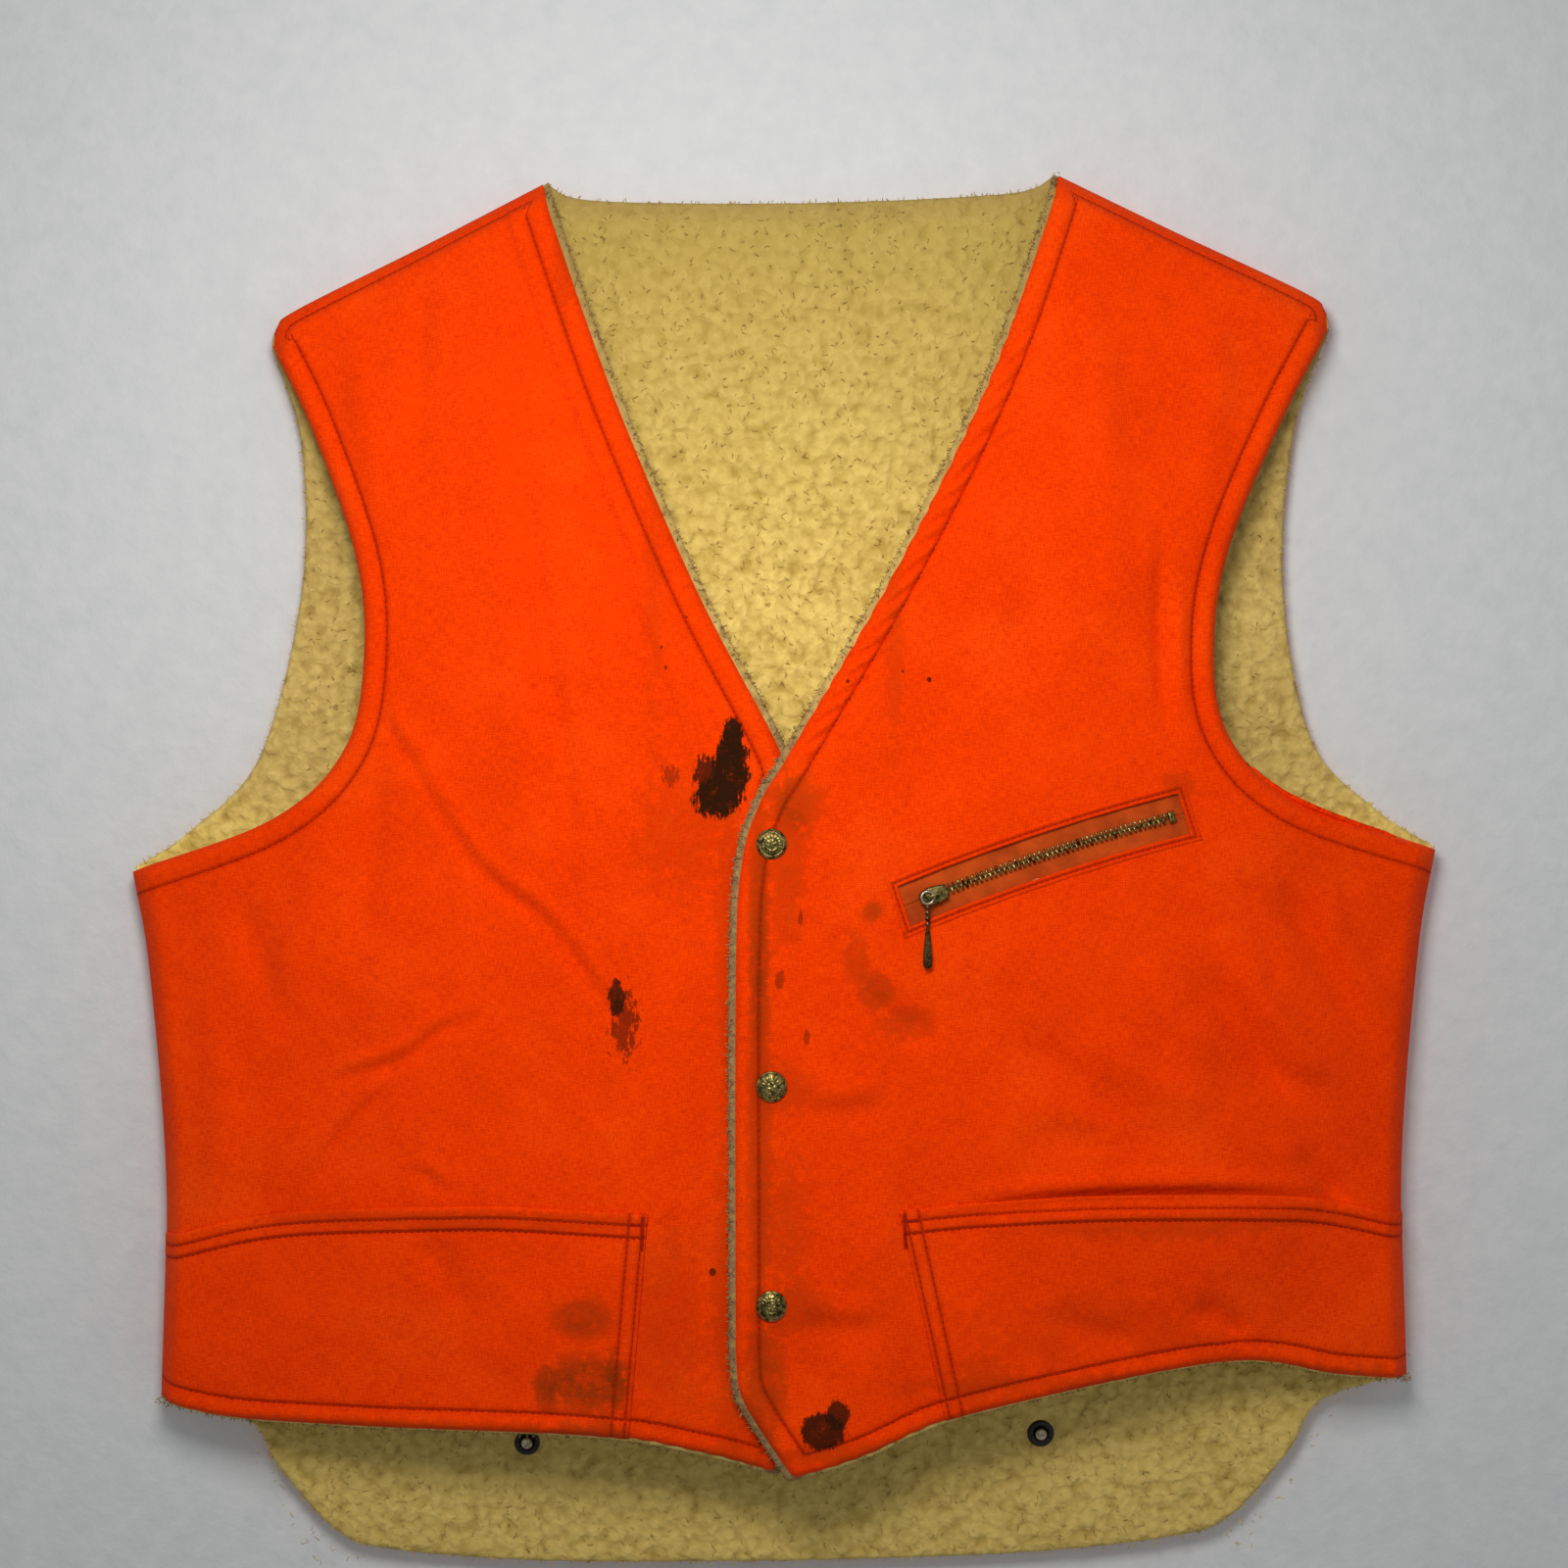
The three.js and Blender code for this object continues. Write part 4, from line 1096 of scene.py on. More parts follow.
# The turned edge of the window: a folded strip all round it, which hides the cut shell.
def make_window_edge():
    half_run, half_rise = ZIP_WINDOW[0] / 2, ZIP_WINDOW[1] / 2
    profile = [(4.6, 0.25), (3.4, -0.1), (2.6, -0.25), (1.9, -0.15), (1.2, -0.3), (0.4, -0.3),
               (-0.1, 0.1), (0.0, 0.7), (0.8, 1.3)]
    sides = [
        [(t, 1) for t in np.linspace(-1, 1, 60)],
        [(1, t) for t in np.linspace(1, -1, 12)[1:-1]],
        [(t, -1) for t in np.linspace(1, -1, 60)],
        [(-1, t) for t in np.linspace(-1, 1, 12)[1:-1]],
    ]
    rim = np.array([spot for side in sides for spot in side])
    vertices = []
    for out, y in profile:
        corner = (np.abs(rim[:, 0]) >= 1) * np.sign(rim[:, 0]) * out
        run = rim[:, 0] * half_run + corner
        edge = (np.abs(rim[:, 1]) >= 1) * np.sign(rim[:, 1]) * out
        spots = from_zip_frame(run, rim[:, 1] * half_rise + edge + window_bow(run))
        depth = shell_depth("left", spots)
        vertices.append(put_at(spots, -depth + y))
    flat = np.vstack(vertices)
    made = add_object("window_edge", flat, ring_faces(len(profile), len(rim)), DUCK["left"])
    cloth_map(made, flat[:, ::2])
    store(made, "seam", np.repeat([out - WINDOW_STITCH for out, y in profile], len(rim)))
    solidify(made, 0.2)
    bend_with_front(made)


def make_front_shell(name):
    places = front_points(name, SHELL_STEP)
    flat = places.reshape(-1, 2)
    rows, columns = places.shape[:2]
    faces = grid_faces(rows, columns, flip=SIDES[name] < 0)
    if name == "left":
        middles = flat[np.array(faces)].mean(axis=1)
        faces = [face for face, gap in zip(faces, outside_window(middles)) if gap > WINDOW_CUT]
    vertices = put_at(flat, -shell_depth(name, flat))
    used = np.unique(np.array(faces))
    renumber = np.full(len(flat), -1)
    renumber[used] = np.arange(len(used))
    faces = renumber[np.array(faces)].tolist()
    made = add_object(f"{name}_shell", vertices[used], faces, DUCK[name])
    cloth_map(made, flat[used])
    store(made, "seam", seam_distance(name, flat)[used])
    solidify(made, SHELL)
    bend_with_front(made)
    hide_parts(f"{name}_front_shell", f"{name}_side_shell")


def make_back_shell():
    places = back_points(BACK_STEP)
    flat = places.reshape(-1, 2)
    made = sheet_object("back_outer", places, shell_depth("back", flat), DUCK["back"], True, SHELL)
    store(made, "seam", seam_distance("back", flat))
    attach(made, "root")
    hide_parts("back_shell")


# ---- Pile linings: a plump closed sheet with knotted lumps on its face ----
LARGE_LUMP, SMALL_LUMP = 9.5, 5.5
LUMP_HEIGHT = 1.4
RIM_WIDTH = 4


# cloth and face are how far its two sides stand out, as y; they draw together at its rim.
def pile_sheet(name, places, cloth, face, edge_gap, calm, soil):
    rows, columns = places.shape[:2]
    flat = places.reshape(-1, 2)
    plump = np.sqrt(np.clip(1 - (1 - np.clip(edge_gap / RIM_WIDTH, 0, 1)) ** 2, 0.0, 1))
    heap = 0.55 * lumps(*flat.T, LARGE_LUMP, 31) + 0.45 * lumps(*flat.T, SMALL_LUMP, 47)
    middle = (cloth + face) / 2
    way = np.sign(face - cloth)
    lumpy = way * (LUMP_HEIGHT * heap - 1.0) * calm
    front = middle + (face - middle + lumpy) * plump
    behind = middle + (cloth - middle) * plump
    vertices = np.vstack([put_at(flat, front), put_at(flat, behind)])
    count = rows * columns
    flip = (way[0] > 0) == (places[0, 0, 0] < places[0, -1, 0])
    faces = grid_faces(rows, columns, flip)
    faces += grid_faces(rows, columns, not flip, count)
    index = np.arange(count).reshape(rows, columns)
    rim = np.concatenate([index[0, :-1], index[:-1, -1], index[-1, :0:-1], index[:0:-1, 0]])
    turned = np.roll(rim, -1)
    band = np.stack([rim, turned, turned + count, rim + count], axis=1)
    faces += (band if flip else band[:, ::-1]).tolist()
    made = add_object(name, vertices, faces, SHERPA)
    cloth_map(made, np.vstack([flat, flat + 0.4]))
    # heap also sets the pile's painted crevice shade: its low places are coloured darker.
    store(made, "heap", np.concatenate([heap, heap * 0.9]))
    store(made, "soil", np.concatenate([soil, soil]))
    return made


def rim_gap(places):
    rim = np.vstack([places[0], places[1:, -1], places[-1, -2::-1], places[-2::-1, 0]])
    return nearest(places.reshape(-1, 2), rim[::2])[0]


# The zip's tapes and bag lie between the shell and the pile, which gives them room.
def bag_room(points):
    low, high = box_mm("chest_pocket_bag")
    inside_x = np.minimum(points[:, 0] - low[0], high[0] - points[:, 0])
    inside_z = np.minimum(points[:, 1] - low[2], high[2] - points[:, 1])
    return smooth((np.minimum(inside_x, inside_z) + 12) / 10)


def make_front_lining(name):
    places = front_points(name, PILE_STEP, PILE_PROUD)
    flat = places.reshape(-1, 2)
    depth = soft_depth(name, flat)
    pull, seam_gap = seam_pull(name, flat, depth, SEAM_MEET + SHELL)
    centre_gap = nearest(flat, EDGES[name]["centre"][0])[0]
    room = 1.7 * bag_room(flat) if name == "left" else 0
    cloth = -depth + PILE_START + 0.5 + room + pull + 1.3 * bell(centre_gap, 15)
    face = np.maximum(-depth + STACK - 0.4, cloth + 1.5)
    calm = smooth(seam_gap / 14) * (0.35 + 0.65 * smooth((SIDES[name] * flat[:, 0] - 14) / 10))
    soil = np.minimum(1, 1.3 * bell(centre_gap, 7)) * (1 - 0.45 * smooth((flat[:, 1] + 300) / 50))
    made = pile_sheet(f"{name}_pile", places, cloth, face, rim_gap(places), calm, soil)
    bend_with_front(made)
    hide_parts(f"{name}_front_lining", f"{name}_side_lining")


def make_back_lining():
    places = back_points(BACK_PILE_STEP, BACK_PILE_PROUD)
    flat = places.reshape(-1, 2)
    wells = tail_snap_share(flat, 8)
    shell = soft_depth("back", flat)
    pull, seam_gap = seam_pull("back", flat, shell, SHELL - SEAM_MEET)
    gap = rim_gap(places)
    sag = 0.8 * ripple(flat[:, 0], flat[:, 1], 90, 61) * (1 - bell(gap, 14))
    face = -STACK + 0.3 + 4.5 * wells + np.maximum(sag, -0.5)
    cloth = np.minimum(-PILE_START, shell - PILE_START - 0.3) - pull
    face = np.minimum(face, cloth - 1.5)
    neck_gap = nearest(flat, EDGES["back"]["neck"][0])[0]
    armhole_shade = smooth((np.abs(flat[:, 0]) - 185) / 30) * smooth((flat[:, 1] + 340) / 40)
    # soil here darkens the pile at the neck edge, and paints shade in the dents round the tail snaps and
    # in the armholes, where the fronts shade the back.
    soil = 0.35 * bell(neck_gap, 9) + 0.3 * wells + 0.42 * armhole_shade
    calm = smooth(seam_gap / 14) * (1 - wells)
    made = pile_sheet("back_pile", places, cloth, face, gap, calm, soil)
    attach(made, "root")
    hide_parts("back_lining")


# ---- Stray curls of pile at the cut edges and over the face ----
def curls(name, roots, headings, lengths_mm, bend=None, soil=0.0):
    count = len(roots)
    rings, sides = 4, 3
    radius = 0.34
    t = np.linspace(0, 1, rings)
    side_way = unit(np.cross(headings, random.normal(size=(count, 3))))
    other = np.cross(headings, side_way)
    vertices = np.zeros((count, rings, sides, 3))
    for r in range(rings):
        swing = 0.45 * lengths_mm * math.sin(t[r] * 2.4)
        middle = roots + headings * (lengths_mm * t[r] * (1 - 0.35 * t[r]))[:, None]
        middle = middle + side_way * swing[:, None]
        for k in range(sides):
            turn = math.tau * k / sides
            wide = radius * (1 - 0.55 * t[r])
            vertices[:, r, k] = middle + wide * (math.cos(turn) * side_way + math.sin(turn) * other)
    pattern = ring_faces(rings, sides)
    faces = []
    for i in range(count):
        start = i * rings * sides
        faces += [tuple(start + v for v in quad) for quad in pattern]
        faces.append((start + 2, start + 1, start))
        last = start + (rings - 1) * sides
        faces.append((last, last + 1, last + 2))
    flat = vertices.reshape(-1, 3)
    made = add_object(name, flat, faces, SHERPA)
    cloth_map(made, flat[:, ::2])
    # heap rises from root to tip, so the painted crevice shade darkens each curl towards its root.
    store(made, "heap", np.tile(np.repeat(0.25 + 0.6 * t, sides), count))
    store(made, "soil", np.full(count * rings * sides, soil))
    if bend:
        bend_with_front(made)
    else:
        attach(made, "root")


def edge_curls(name, lines, per_mm, y_of, bend=None, soil=0.0):
    roots, ways = [], []
    for line, outward in lines:
        count = int(lengths(line)[-1] * per_mm)
        places = np.sort(random.uniform(0, 1, count))
        points = along(line, places)
        after, before = (along(line, np.clip(places + step, 0, 1)) for step in (0.002, -0.002))
        normal = left_of(unit(after - before)) * outward
        points = points + normal * random.uniform(-2.5, 1.2, (count, 1))
        roots.append(put_at(points, y_of(points) + random.uniform(-2.6, 2.6, count)))
        ways.append(put_at(normal, np.zeros(count)) + random.normal(0, 0.55, (count, 3)))
    roots, ways = np.vstack(roots), unit(np.vstack(ways))
    curls(name, roots, ways, random.uniform(1.4, 3.4, len(roots)), bend, soil)


def make_edge_curls():
    middle = (PILE_START + STACK) / 2
    for name, side in SIDES.items():
        lines = [
            (hang(mirror(spread(centre_edge(name), PILE_PROUD[0] - 1, True), side)), side),
            (hang(mirror(spread(front_hem(name), 1 - PILE_PROUD[1], True), side)), -side),
        ]
        edge_curls(
            f"{name}_edge_curls", lines, 2.4,
            lambda p, name=name: -soft_depth(name, p) + middle,
            bend=name, soil=0.9,
        )
    lines = []
    for side in SIDES.values():
        lines += [
            (hang(mirror(spread(BACK_NECK, BACK_PILE_PROUD - 1, True), side)), side),
            (hang(mirror(spread(BACK_ARMHOLE, 1 - BACK_PILE_PROUD, True), side)), -side),
            (hang(mirror(spread(TAIL_EDGE, 1 - BACK_PILE_PROUD, True), side)), -side),
        ]
    edge_curls("back_edge_curls", lines, 1.6, lambda p: np.full(len(p), -5.5))


def make_face_curls():
    count = 9000
    x = random.uniform(-HALF_CHEST + 4, HALF_CHEST - 4, count)
    z = random.uniform(-TAIL_LENGTH + 4, -BACK_NECK_DEPTH - 2, count)
    points = np.stack([x, z], axis=1)
    v_half = HALF_NECK * (1 + z / (NECK_DEPTH + 30))
    in_neck = (np.abs(x) < v_half) & (z > -NECK_DEPTH - 10)
    in_arm = (np.abs(x) > HALF_ACROSS_FRONT - 12) & (np.abs(x) < HALF_ACROSS_BACK - 2)
    in_arm &= (z < -110) & (z > -300)
    in_tail = (z < -SIDE_END + 10) & (np.abs(x) < HALF_TAIL + 40 + 0.6 * (z + TAIL_LENGTH))
    shown = in_neck | in_arm | in_tail
    for side in SIDES:
        sx, sz = snap_place(f"tail_snap_{side}_stud")
        shown &= np.hypot(x - sx, z - sz) > 9
    points = hang(points[shown])
    count = len(points)
    roots = put_at(points, np.full(count, -STACK - 0.2))
    ways = random.normal(0, 1, (count, 3)) * np.array([1, 0.25, 1]) + np.array([0, -0.35, -0.25])
    curls("back_face_curls", roots, unit(ways), random.uniform(2.0, 4.6, count))


# ---- Lower pockets ----
def pocket_points(name, step):
    hem = front_hem(name)
    foot = hem[np.abs(hem[:, 0] - POCKET_INNER_FOOT[name]).argmin()]
    inner = curve([foot, (POCKET_INNER_TOP[name], -POCKET_TOP)])
    bottom = hem[hem[:, 0] >= foot[0]]
    bottom[:, 1] += 0.4
    share = (POCKET_TOP_AT_SIDE - SIDE_END) / (ARMHOLE_DEPTH - SIDE_END)
    outer = SIDE_EDGE[: int(len(SIDE_EDGE) * share)]
    top = curve([inner[-1], (0.5 * HALF_WAIST, 5 - POCKET_TOP), (0.8 * HALF_WAIST, -POCKET_TOP),
                 outer[-1]])
    return hang(four_sided(bottom, top, inner, outer, step) * np.array([SIDES[name], 1]))


POCKET_GAPE = {"left": 9.0, "right": 3.2}
POCKET_CLOTH = 1.0


# How far a pocket stands off its shell: sewn down at its inner edge, side and hem, open on top.
def pocket_rise(name, points):
    cut = unhang(points)
    own_x = SIDES[name] * cut[:, 0]
    inner = POCKET_INNER_FOOT[name] + 8
    fold = FOLD_TOP - FOLD_CUT - FOLD_SLOPE * cut[:, 1] + 14
    across = np.clip((own_x - inner) / (fold - inner), 0, 1)
    up = smooth((cut[:, 1] + FRONT_LENGTH - 35) / (FRONT_LENGTH - 35 - POCKET_TOP))
    return SHELL + 0.5 + POCKET_GAPE[name] * np.sin(np.pi * across) ** 1.4 * up


def pocket_depth(name, points):
    edges = pocket_edges(name)
    depth = shell_depth(name, points) + pocket_rise(name, points)
    gap, place = nearest(points, edges["top"])
    band = 1 - smooth((gap - 11.4) / 1.2)
    depth += 0.7 * band
    for row in TOP_ROWS:
        depth -= 0.7 * bell(gap - row, 1.2)
    pucker = np.sin(math.tau * place / 6.5 + 1.6 * ripple(place, gap, 30, 71))
    depth += 0.3 * pucker * bell(gap - 9, 3.4)
    depth -= 1.0 * np.clip(1 - gap / 1.6, 0, 1) ** 2
    gap, place = nearest(points, edges["inner"])
    for row in INNER_ROWS:
        depth -= 0.5 * bell(gap - row, 1.2)
    return depth - 1.3 * np.clip(1 - gap / 1.8, 0, 1) ** 2


def pocket_edges(name):
    if name not in POCKET_EDGES:
        places = pocket_points(name, 6)
        POCKET_EDGES[name] = {"top": places[-1], "inner": places[:, 0]}
    return POCKET_EDGES[name]


POCKET_EDGES = {}


def make_pocket(name):
    places = pocket_points(name, SHELL_STEP)
    flat = places.reshape(-1, 2)
    cloth = DUCK[f"{name}_pocket"]
    made = sheet_object(
        f"{name}_pocket", places, -pocket_depth(name, flat), cloth, SIDES[name] < 0, POCKET_CLOTH
    )
    for edge, line in pocket_edges(name).items():
        store(made, edge, nearest(flat, line)[0])
    hem, roll, stitch = EDGES[name]["hem"]
    store(made, "seam", nearest(flat, hem)[0] - stitch)
    bend_with_front(made)
    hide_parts(f"{name}_lower_pocket", f"{name}_pocket_side")


# ---- Stitches ----
class Stitching:
    """Collects stitches lying on a cloth and makes them one piece."""

    def __init__(self):
        self.vertices = []
        self.faces = []

    def row(self, line, depth_of, pitch=STITCH_PITCH, length=STITCH_LENGTH, width=THREAD_WIDTH):
        run = lengths(line)[-1]
        count = max(1, round(run / pitch))
        middles = (np.arange(count) + 0.5) * pitch / run
        spots = along(line, np.concatenate([
            middles - 0.5 * length / run, middles, middles + 0.5 * length / run
        ]))
        solid = put_at(spots, -depth_of(spots) - THREAD_PROUD).reshape(3, count, 3)
        out = np.array([0.0, -1.0, 0.0])
        side = np.cross(unit(solid[2] - solid[0]), out)
        rings = [(solid[0], 0.35, 0.35), (solid[1], 1.0, 0.0), (solid[2], 0.35, 0.35)]
        sides = 5
        block = np.zeros((count, len(rings), sides, 3))
        for r, (middle, share, sink) in enumerate(rings):
            for k in range(sides):
                turn = math.tau * k / sides
                reach_side = side * (math.cos(turn) * width / 2 * share)
                reach_out = out * (math.sin(turn) * width / 2 * share - sink)
                block[:, r, k] = middle + reach_side + reach_out
        start = sum(len(part) for part in self.vertices)
        self.vertices.append(block.reshape(-1, 3))
        for i in range(count):
            first = start + len(rings) * sides * i
            last = first + (len(rings) - 1) * sides
            self.faces += ring_faces(len(rings), sides, first)
            self.faces.append(tuple(first + k for k in range(sides))[::-1])
            self.faces.append(tuple(last + k for k in range(sides)))

    def tack(self, place, heading, length, depth_of):
        heading = np.array(heading, float) / np.linalg.norm(heading)
        normal = np.array([-heading[1], heading[0]])
        for k in range(int(length / TACK_PITCH)):
            spot = np.array(place) + heading * (k * TACK_PITCH - length / 2)
            line = np.array([spot - normal * 1.1, spot + normal * 1.1])
            self.row(line, depth_of, pitch=2.2, length=2.1, width=0.6)

    def finish(self, name):
        made = add_object(name, np.vstack(self.vertices), self.faces, THREAD)
        return made


# The line that runs beside an edge at a distance, on the cloth's side of it.
def beside(line, distance, side):
    moved = spread(line, distance * side, True)
    run = lengths(moved)[-1]
    return resample(moved, int(run / 2))


# A row of stitches beside one edge of a piece, up to where it meets the next edges' rows.
def edge_row(name, kind, way):
    line, roll, stitch = EDGES[name][kind]
    row = beside(line, stitch, way)
    for other, (other_line, roll, other_stitch) in EDGES[name].items():
        if other != kind:
            row = row[nearest(row, other_line)[0] > (other_stitch or 2) - 0.6]
    return row


def make_stitches(name):
    side = SIDES[name]
    sewing = Stitching()

    def on_shell(points):
        return shell_depth(name, points)

    def on_pocket(points):
        return pocket_depth(name, points)

    for kind, way in (("centre", -side), ("arm", side), ("shoulder", -side)):
        sewing.row(edge_row(name, kind, way), on_shell)
    hem = edge_row(name, "hem", side)
    own = side * unhang(hem)[:, 0]
    foot = POCKET_INNER_FOOT[name]
    sewing.row(hem[own < foot], on_shell)
    sewing.row(hem[own > foot + 1], on_pocket)
    top, inner = pocket_edges(name)["top"], pocket_edges(name)["inner"]
    for gap in TOP_ROWS:
        sewing.row(beside(top, gap, -side)[1:-1], on_pocket)
    for gap in INNER_ROWS:
        line = beside(inner, gap, -side)
        sewing.row(line[2:-1], on_pocket)
    corner = inner[-1]
    for dx, dz, heading, length in ((2.8, -9.5, (-0.05, 1), 17), (7.0, -5.2, (1, 0.04), 7.5)):
        sewing.tack(
            corner + np.array([side * dx, dz]), (side * heading[0], heading[1]), length, on_pocket
        )
    if name == "left":
        for line, on in window_rows():
            sewing.row(line, on)
    made = sewing.finish(f"{name}_stitching")
    bend_with_front(made)


def from_zip_frame(run, rise):
    c, s = math.cos(ZIP_ANGLE), math.sin(ZIP_ANGLE)
    return np.stack([ZIP_CENTRE[0] + run * c - rise * s, ZIP_CENTRE[2] + rise * c + run * s], axis=-1)


def window_rows():
    def on_edge(points):
        return shell_depth("left", points) + 0.25

    half_run, half_rise = (size / 2 + WINDOW_STITCH for size in ZIP_WINDOW)
    run = np.linspace(-half_run, half_run, 60)
    rows = []
    for sign in (1, -1):
        rows.append((from_zip_frame(run, sign * half_rise + window_bow(run)), on_edge))
        end = np.linspace(-half_rise, half_rise, 12) + window_bow(half_run)
        rows.append((from_zip_frame(np.full(12, sign * half_run), end), on_edge))
        tick = np.linspace(-2.5, 2.5, 4)
        rows.append((from_zip_frame(sign * half_run + tick, tick * 0 - half_rise - 1.2), on_edge))
    return rows


def make_back_stitches():
    sewing = Stitching()

    def on_back(points):
        return -shell_depth("back", points) - 0.25

    for kind, way in (("neck", -1), ("tail", 1), ("left_arm", 1), ("right_arm", -1)):
        sewing.row(edge_row("back", kind, way), on_back)
    made = sewing.finish("back_stitching")
    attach(made, "root")


# ---- Turned metal: profiles of radius and y, which end on the axis with a radius of TIP ----
def turned(name, profile, centre, material, segments=48, detail=None):
    profile = np.array(profile, float)
    angles = np.linspace(0, math.tau, segments, endpoint=False)
    vertices = []
    for radius, y in profile:
        for angle in angles:
            r, h = (radius, y) if detail is None else detail(radius, y, angle)
            vertices.append((centre[0] + r * math.cos(angle), h, centre[1] + r * math.sin(angle)))
    faces = ring_faces(len(profile), segments)
    if profile[0][0] > 0 and profile[-1][0] > 0 and not np.allclose(profile[0], profile[-1]):
        faces.append(tuple(range(segments))[::-1])
        last = (len(profile) - 1) * segments
        faces.append(tuple(range(last, last + segments)))
    return add_object(name, vertices, faces, material)


def snap_place(node):
    low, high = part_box(node)
    middle = (low + high) / 2 / MM
    return middle[0], middle[2]


# The nearest and the furthest that a CAD node is from the front, as y in mm.
def depth_range(node):
    return box_mm(node)[:, 1]


def dome(radius, height, foot, steps):
    points = []
    for k in range(steps + 1):
        r = radius * k / steps
        points.append((max(r, TIP), foot - height * (1 - (r / radius) ** 2.4)))
    return points


# A cap with a beaded ring, a band of small rays and a plain boss: no mark of any maker.
def embossed(radius, y, angle):
    ring = 0.3 * bell(radius - 6.1, 0.28) + 0.28 * bell(radius - 3.1, 0.25)
    rays = 0.26 * (0.5 + 0.5 * math.cos(18 * angle)) * bell(radius - 4.6, 0.9)
    beads = 0.10 * (0.5 + 0.5 * math.cos(36 * angle)) * bell(radius - 6.1, 0.3)
    petals = 0.26 * (0.5 + 0.5 * math.cos(5 * angle)) * bell(radius - 1.5, 0.8)
    return radius, y - ring - rays - beads - petals


def snap_part(node, profile, centre, material, body, segments=48, detail=None):
    made = turned(f"{node}_look", profile, centre, material, segments, detail)
    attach(made, body)
    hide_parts(node)


def make_front_snap(number):
    centre = snap_place(f"snap_{number}_cap")
    top, end = depth_range(f"snap_{number}_cap")
    foot = top + 2.6
    profile = dome(7.3, 2.0, foot - 0.5, 40)
    profile += [(7.5, foot - 0.3), (7.45, foot), (7.0, foot + 0.25), (1.8, foot + 0.25)]
    profile += [(1.8, end), (TIP, end)]
    snap_part(f"snap_{number}_cap", profile, centre, BRASS, "left_front", 96, embossed)
    back, rim = depth_range(f"snap_{number}_socket")
    profile = [
        (2.1, back), (6.0, back), (6.25, back + 0.3), (6.25, rim - 0.8), (5.9, rim - 0.1),
        (5.4, rim), (4.8, rim - 0.1), (4.45, rim - 0.5), (4.3, rim - 1.2), (4.5, back + 1.2),
        (4.1, back + 1.0), (2.1, back + 1.0), (2.1, back),
    ]
    snap_part(f"snap_{number}_socket", profile, centre, PALE_BRASS, "left_front")
    tip, foot = depth_range(f"snap_{number}_stud")
    profile = [
        (TIP, tip + 0.5), (1.2, tip + 0.45), (1.7, tip), (2.7, tip + 0.05), (3.3, tip + 0.5),
        (3.5, tip + 1.1), (3.25, tip + 2.0), (3.1, tip + 2.8), (3.6, tip + 3.0), (5.6, tip + 3.1),
        (6.2, tip + 3.4), (6.2, foot), (2.1, foot), (2.1, tip + 1.6), (TIP, tip + 1.6),
    ]
    snap_part(f"snap_{number}_stud", profile, centre, PALE_BRASS, "right_front")
    tip, foot = depth_range(f"snap_{number}_eyelet")
    profile = [
        (TIP, tip), (1.8, tip), (1.8, foot - 1.0), (5.8, foot - 1.0), (6.25, foot - 0.6),
        (6.0, foot - 0.1), (4.6, foot), (3.0, foot - 0.1), (2.0, foot - 0.5), (TIP, foot - 0.5),
    ]
    snap_part(f"snap_{number}_eyelet", profile, centre, PALE_BRASS, "right_front")


# A cap with one ring of beads.
def beaded(radius, y, angle):
    return radius, y + 0.12 * bell(radius - 5.9, 0.4) * (0.5 + 0.5 * math.cos(30 * angle))


def make_tail_snap(side):
    centre = snap_place(f"tail_snap_{side}_stud")
    tip, foot = depth_range(f"tail_snap_{side}_stud")
    ring_front = tip + 2.0
    profile = [
        (3.0, ring_front + 1.4), (3.4, ring_front + 0.7), (4.2, ring_front + 0.1),
        (5.2, ring_front - 0.1), (6.2, ring_front + 0.2), (6.8, ring_front + 0.9),
        (7.0, ring_front + 1.8), (6.8, foot), (2.2, foot), (2.2, ring_front + 1.6),
        (3.0, ring_front + 1.4),
    ]
    ring = turned(f"tail_snap_{side}_ring", profile, centre, ENAMEL)
    profile = [
        (TIP, tip + 0.35), (0.9, tip + 0.3), (1.5, tip), (2.4, tip + 0.1), (2.95, tip + 0.6),
        (3.0, tip + 1.2), (2.6, tip + 2.2), (2.55, ring_front + 1.5), (TIP, ring_front + 1.5),
    ]
    knob = turned(f"tail_snap_{side}_knob", profile, centre, PALE_BRASS, 40)
    for piece, slot in ((ring, "black_metal"), (knob, "aged_brass")):
        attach(piece, "root")
    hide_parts(f"tail_snap_{side}_stud")
    profile = [
        (TIP, -0.1), (5.5, 0.0), (7.0, -0.25), (7.5, -0.7), (7.4, -1.2), (1.8, -1.2),
        (1.8, ring_front + 1.8), (TIP, ring_front + 1.8),
    ]
    snap_part(f"tail_snap_{side}_cap", profile, centre, BRASS, "root", 72, beaded)


# ---- Zip ----
# From the zip's own directions, along the chain, into the cloth and across it, to the vest's.
def zip_points(local):
    local = np.asarray(local, float)
    face = reach(ZIP_CENTRE[None, ::2])[0] - TAPE_DEPTH
    centre = np.array([ZIP_CENTRE[0], -face, ZIP_CENTRE[2]])
    chain = Vector(ZIP_AXIS).normalized()
    across = chain.cross(ZIP_NORMAL).normalized()
    return local @ np.array([chain, ZIP_NORMAL, across]) + centre


def zip_object(name, local, faces, material, body=None):
    made = add_object(name, zip_points(local), faces, material)
    if body:
        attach(made, body)
    else:
        bend_with_front(made)
    return made


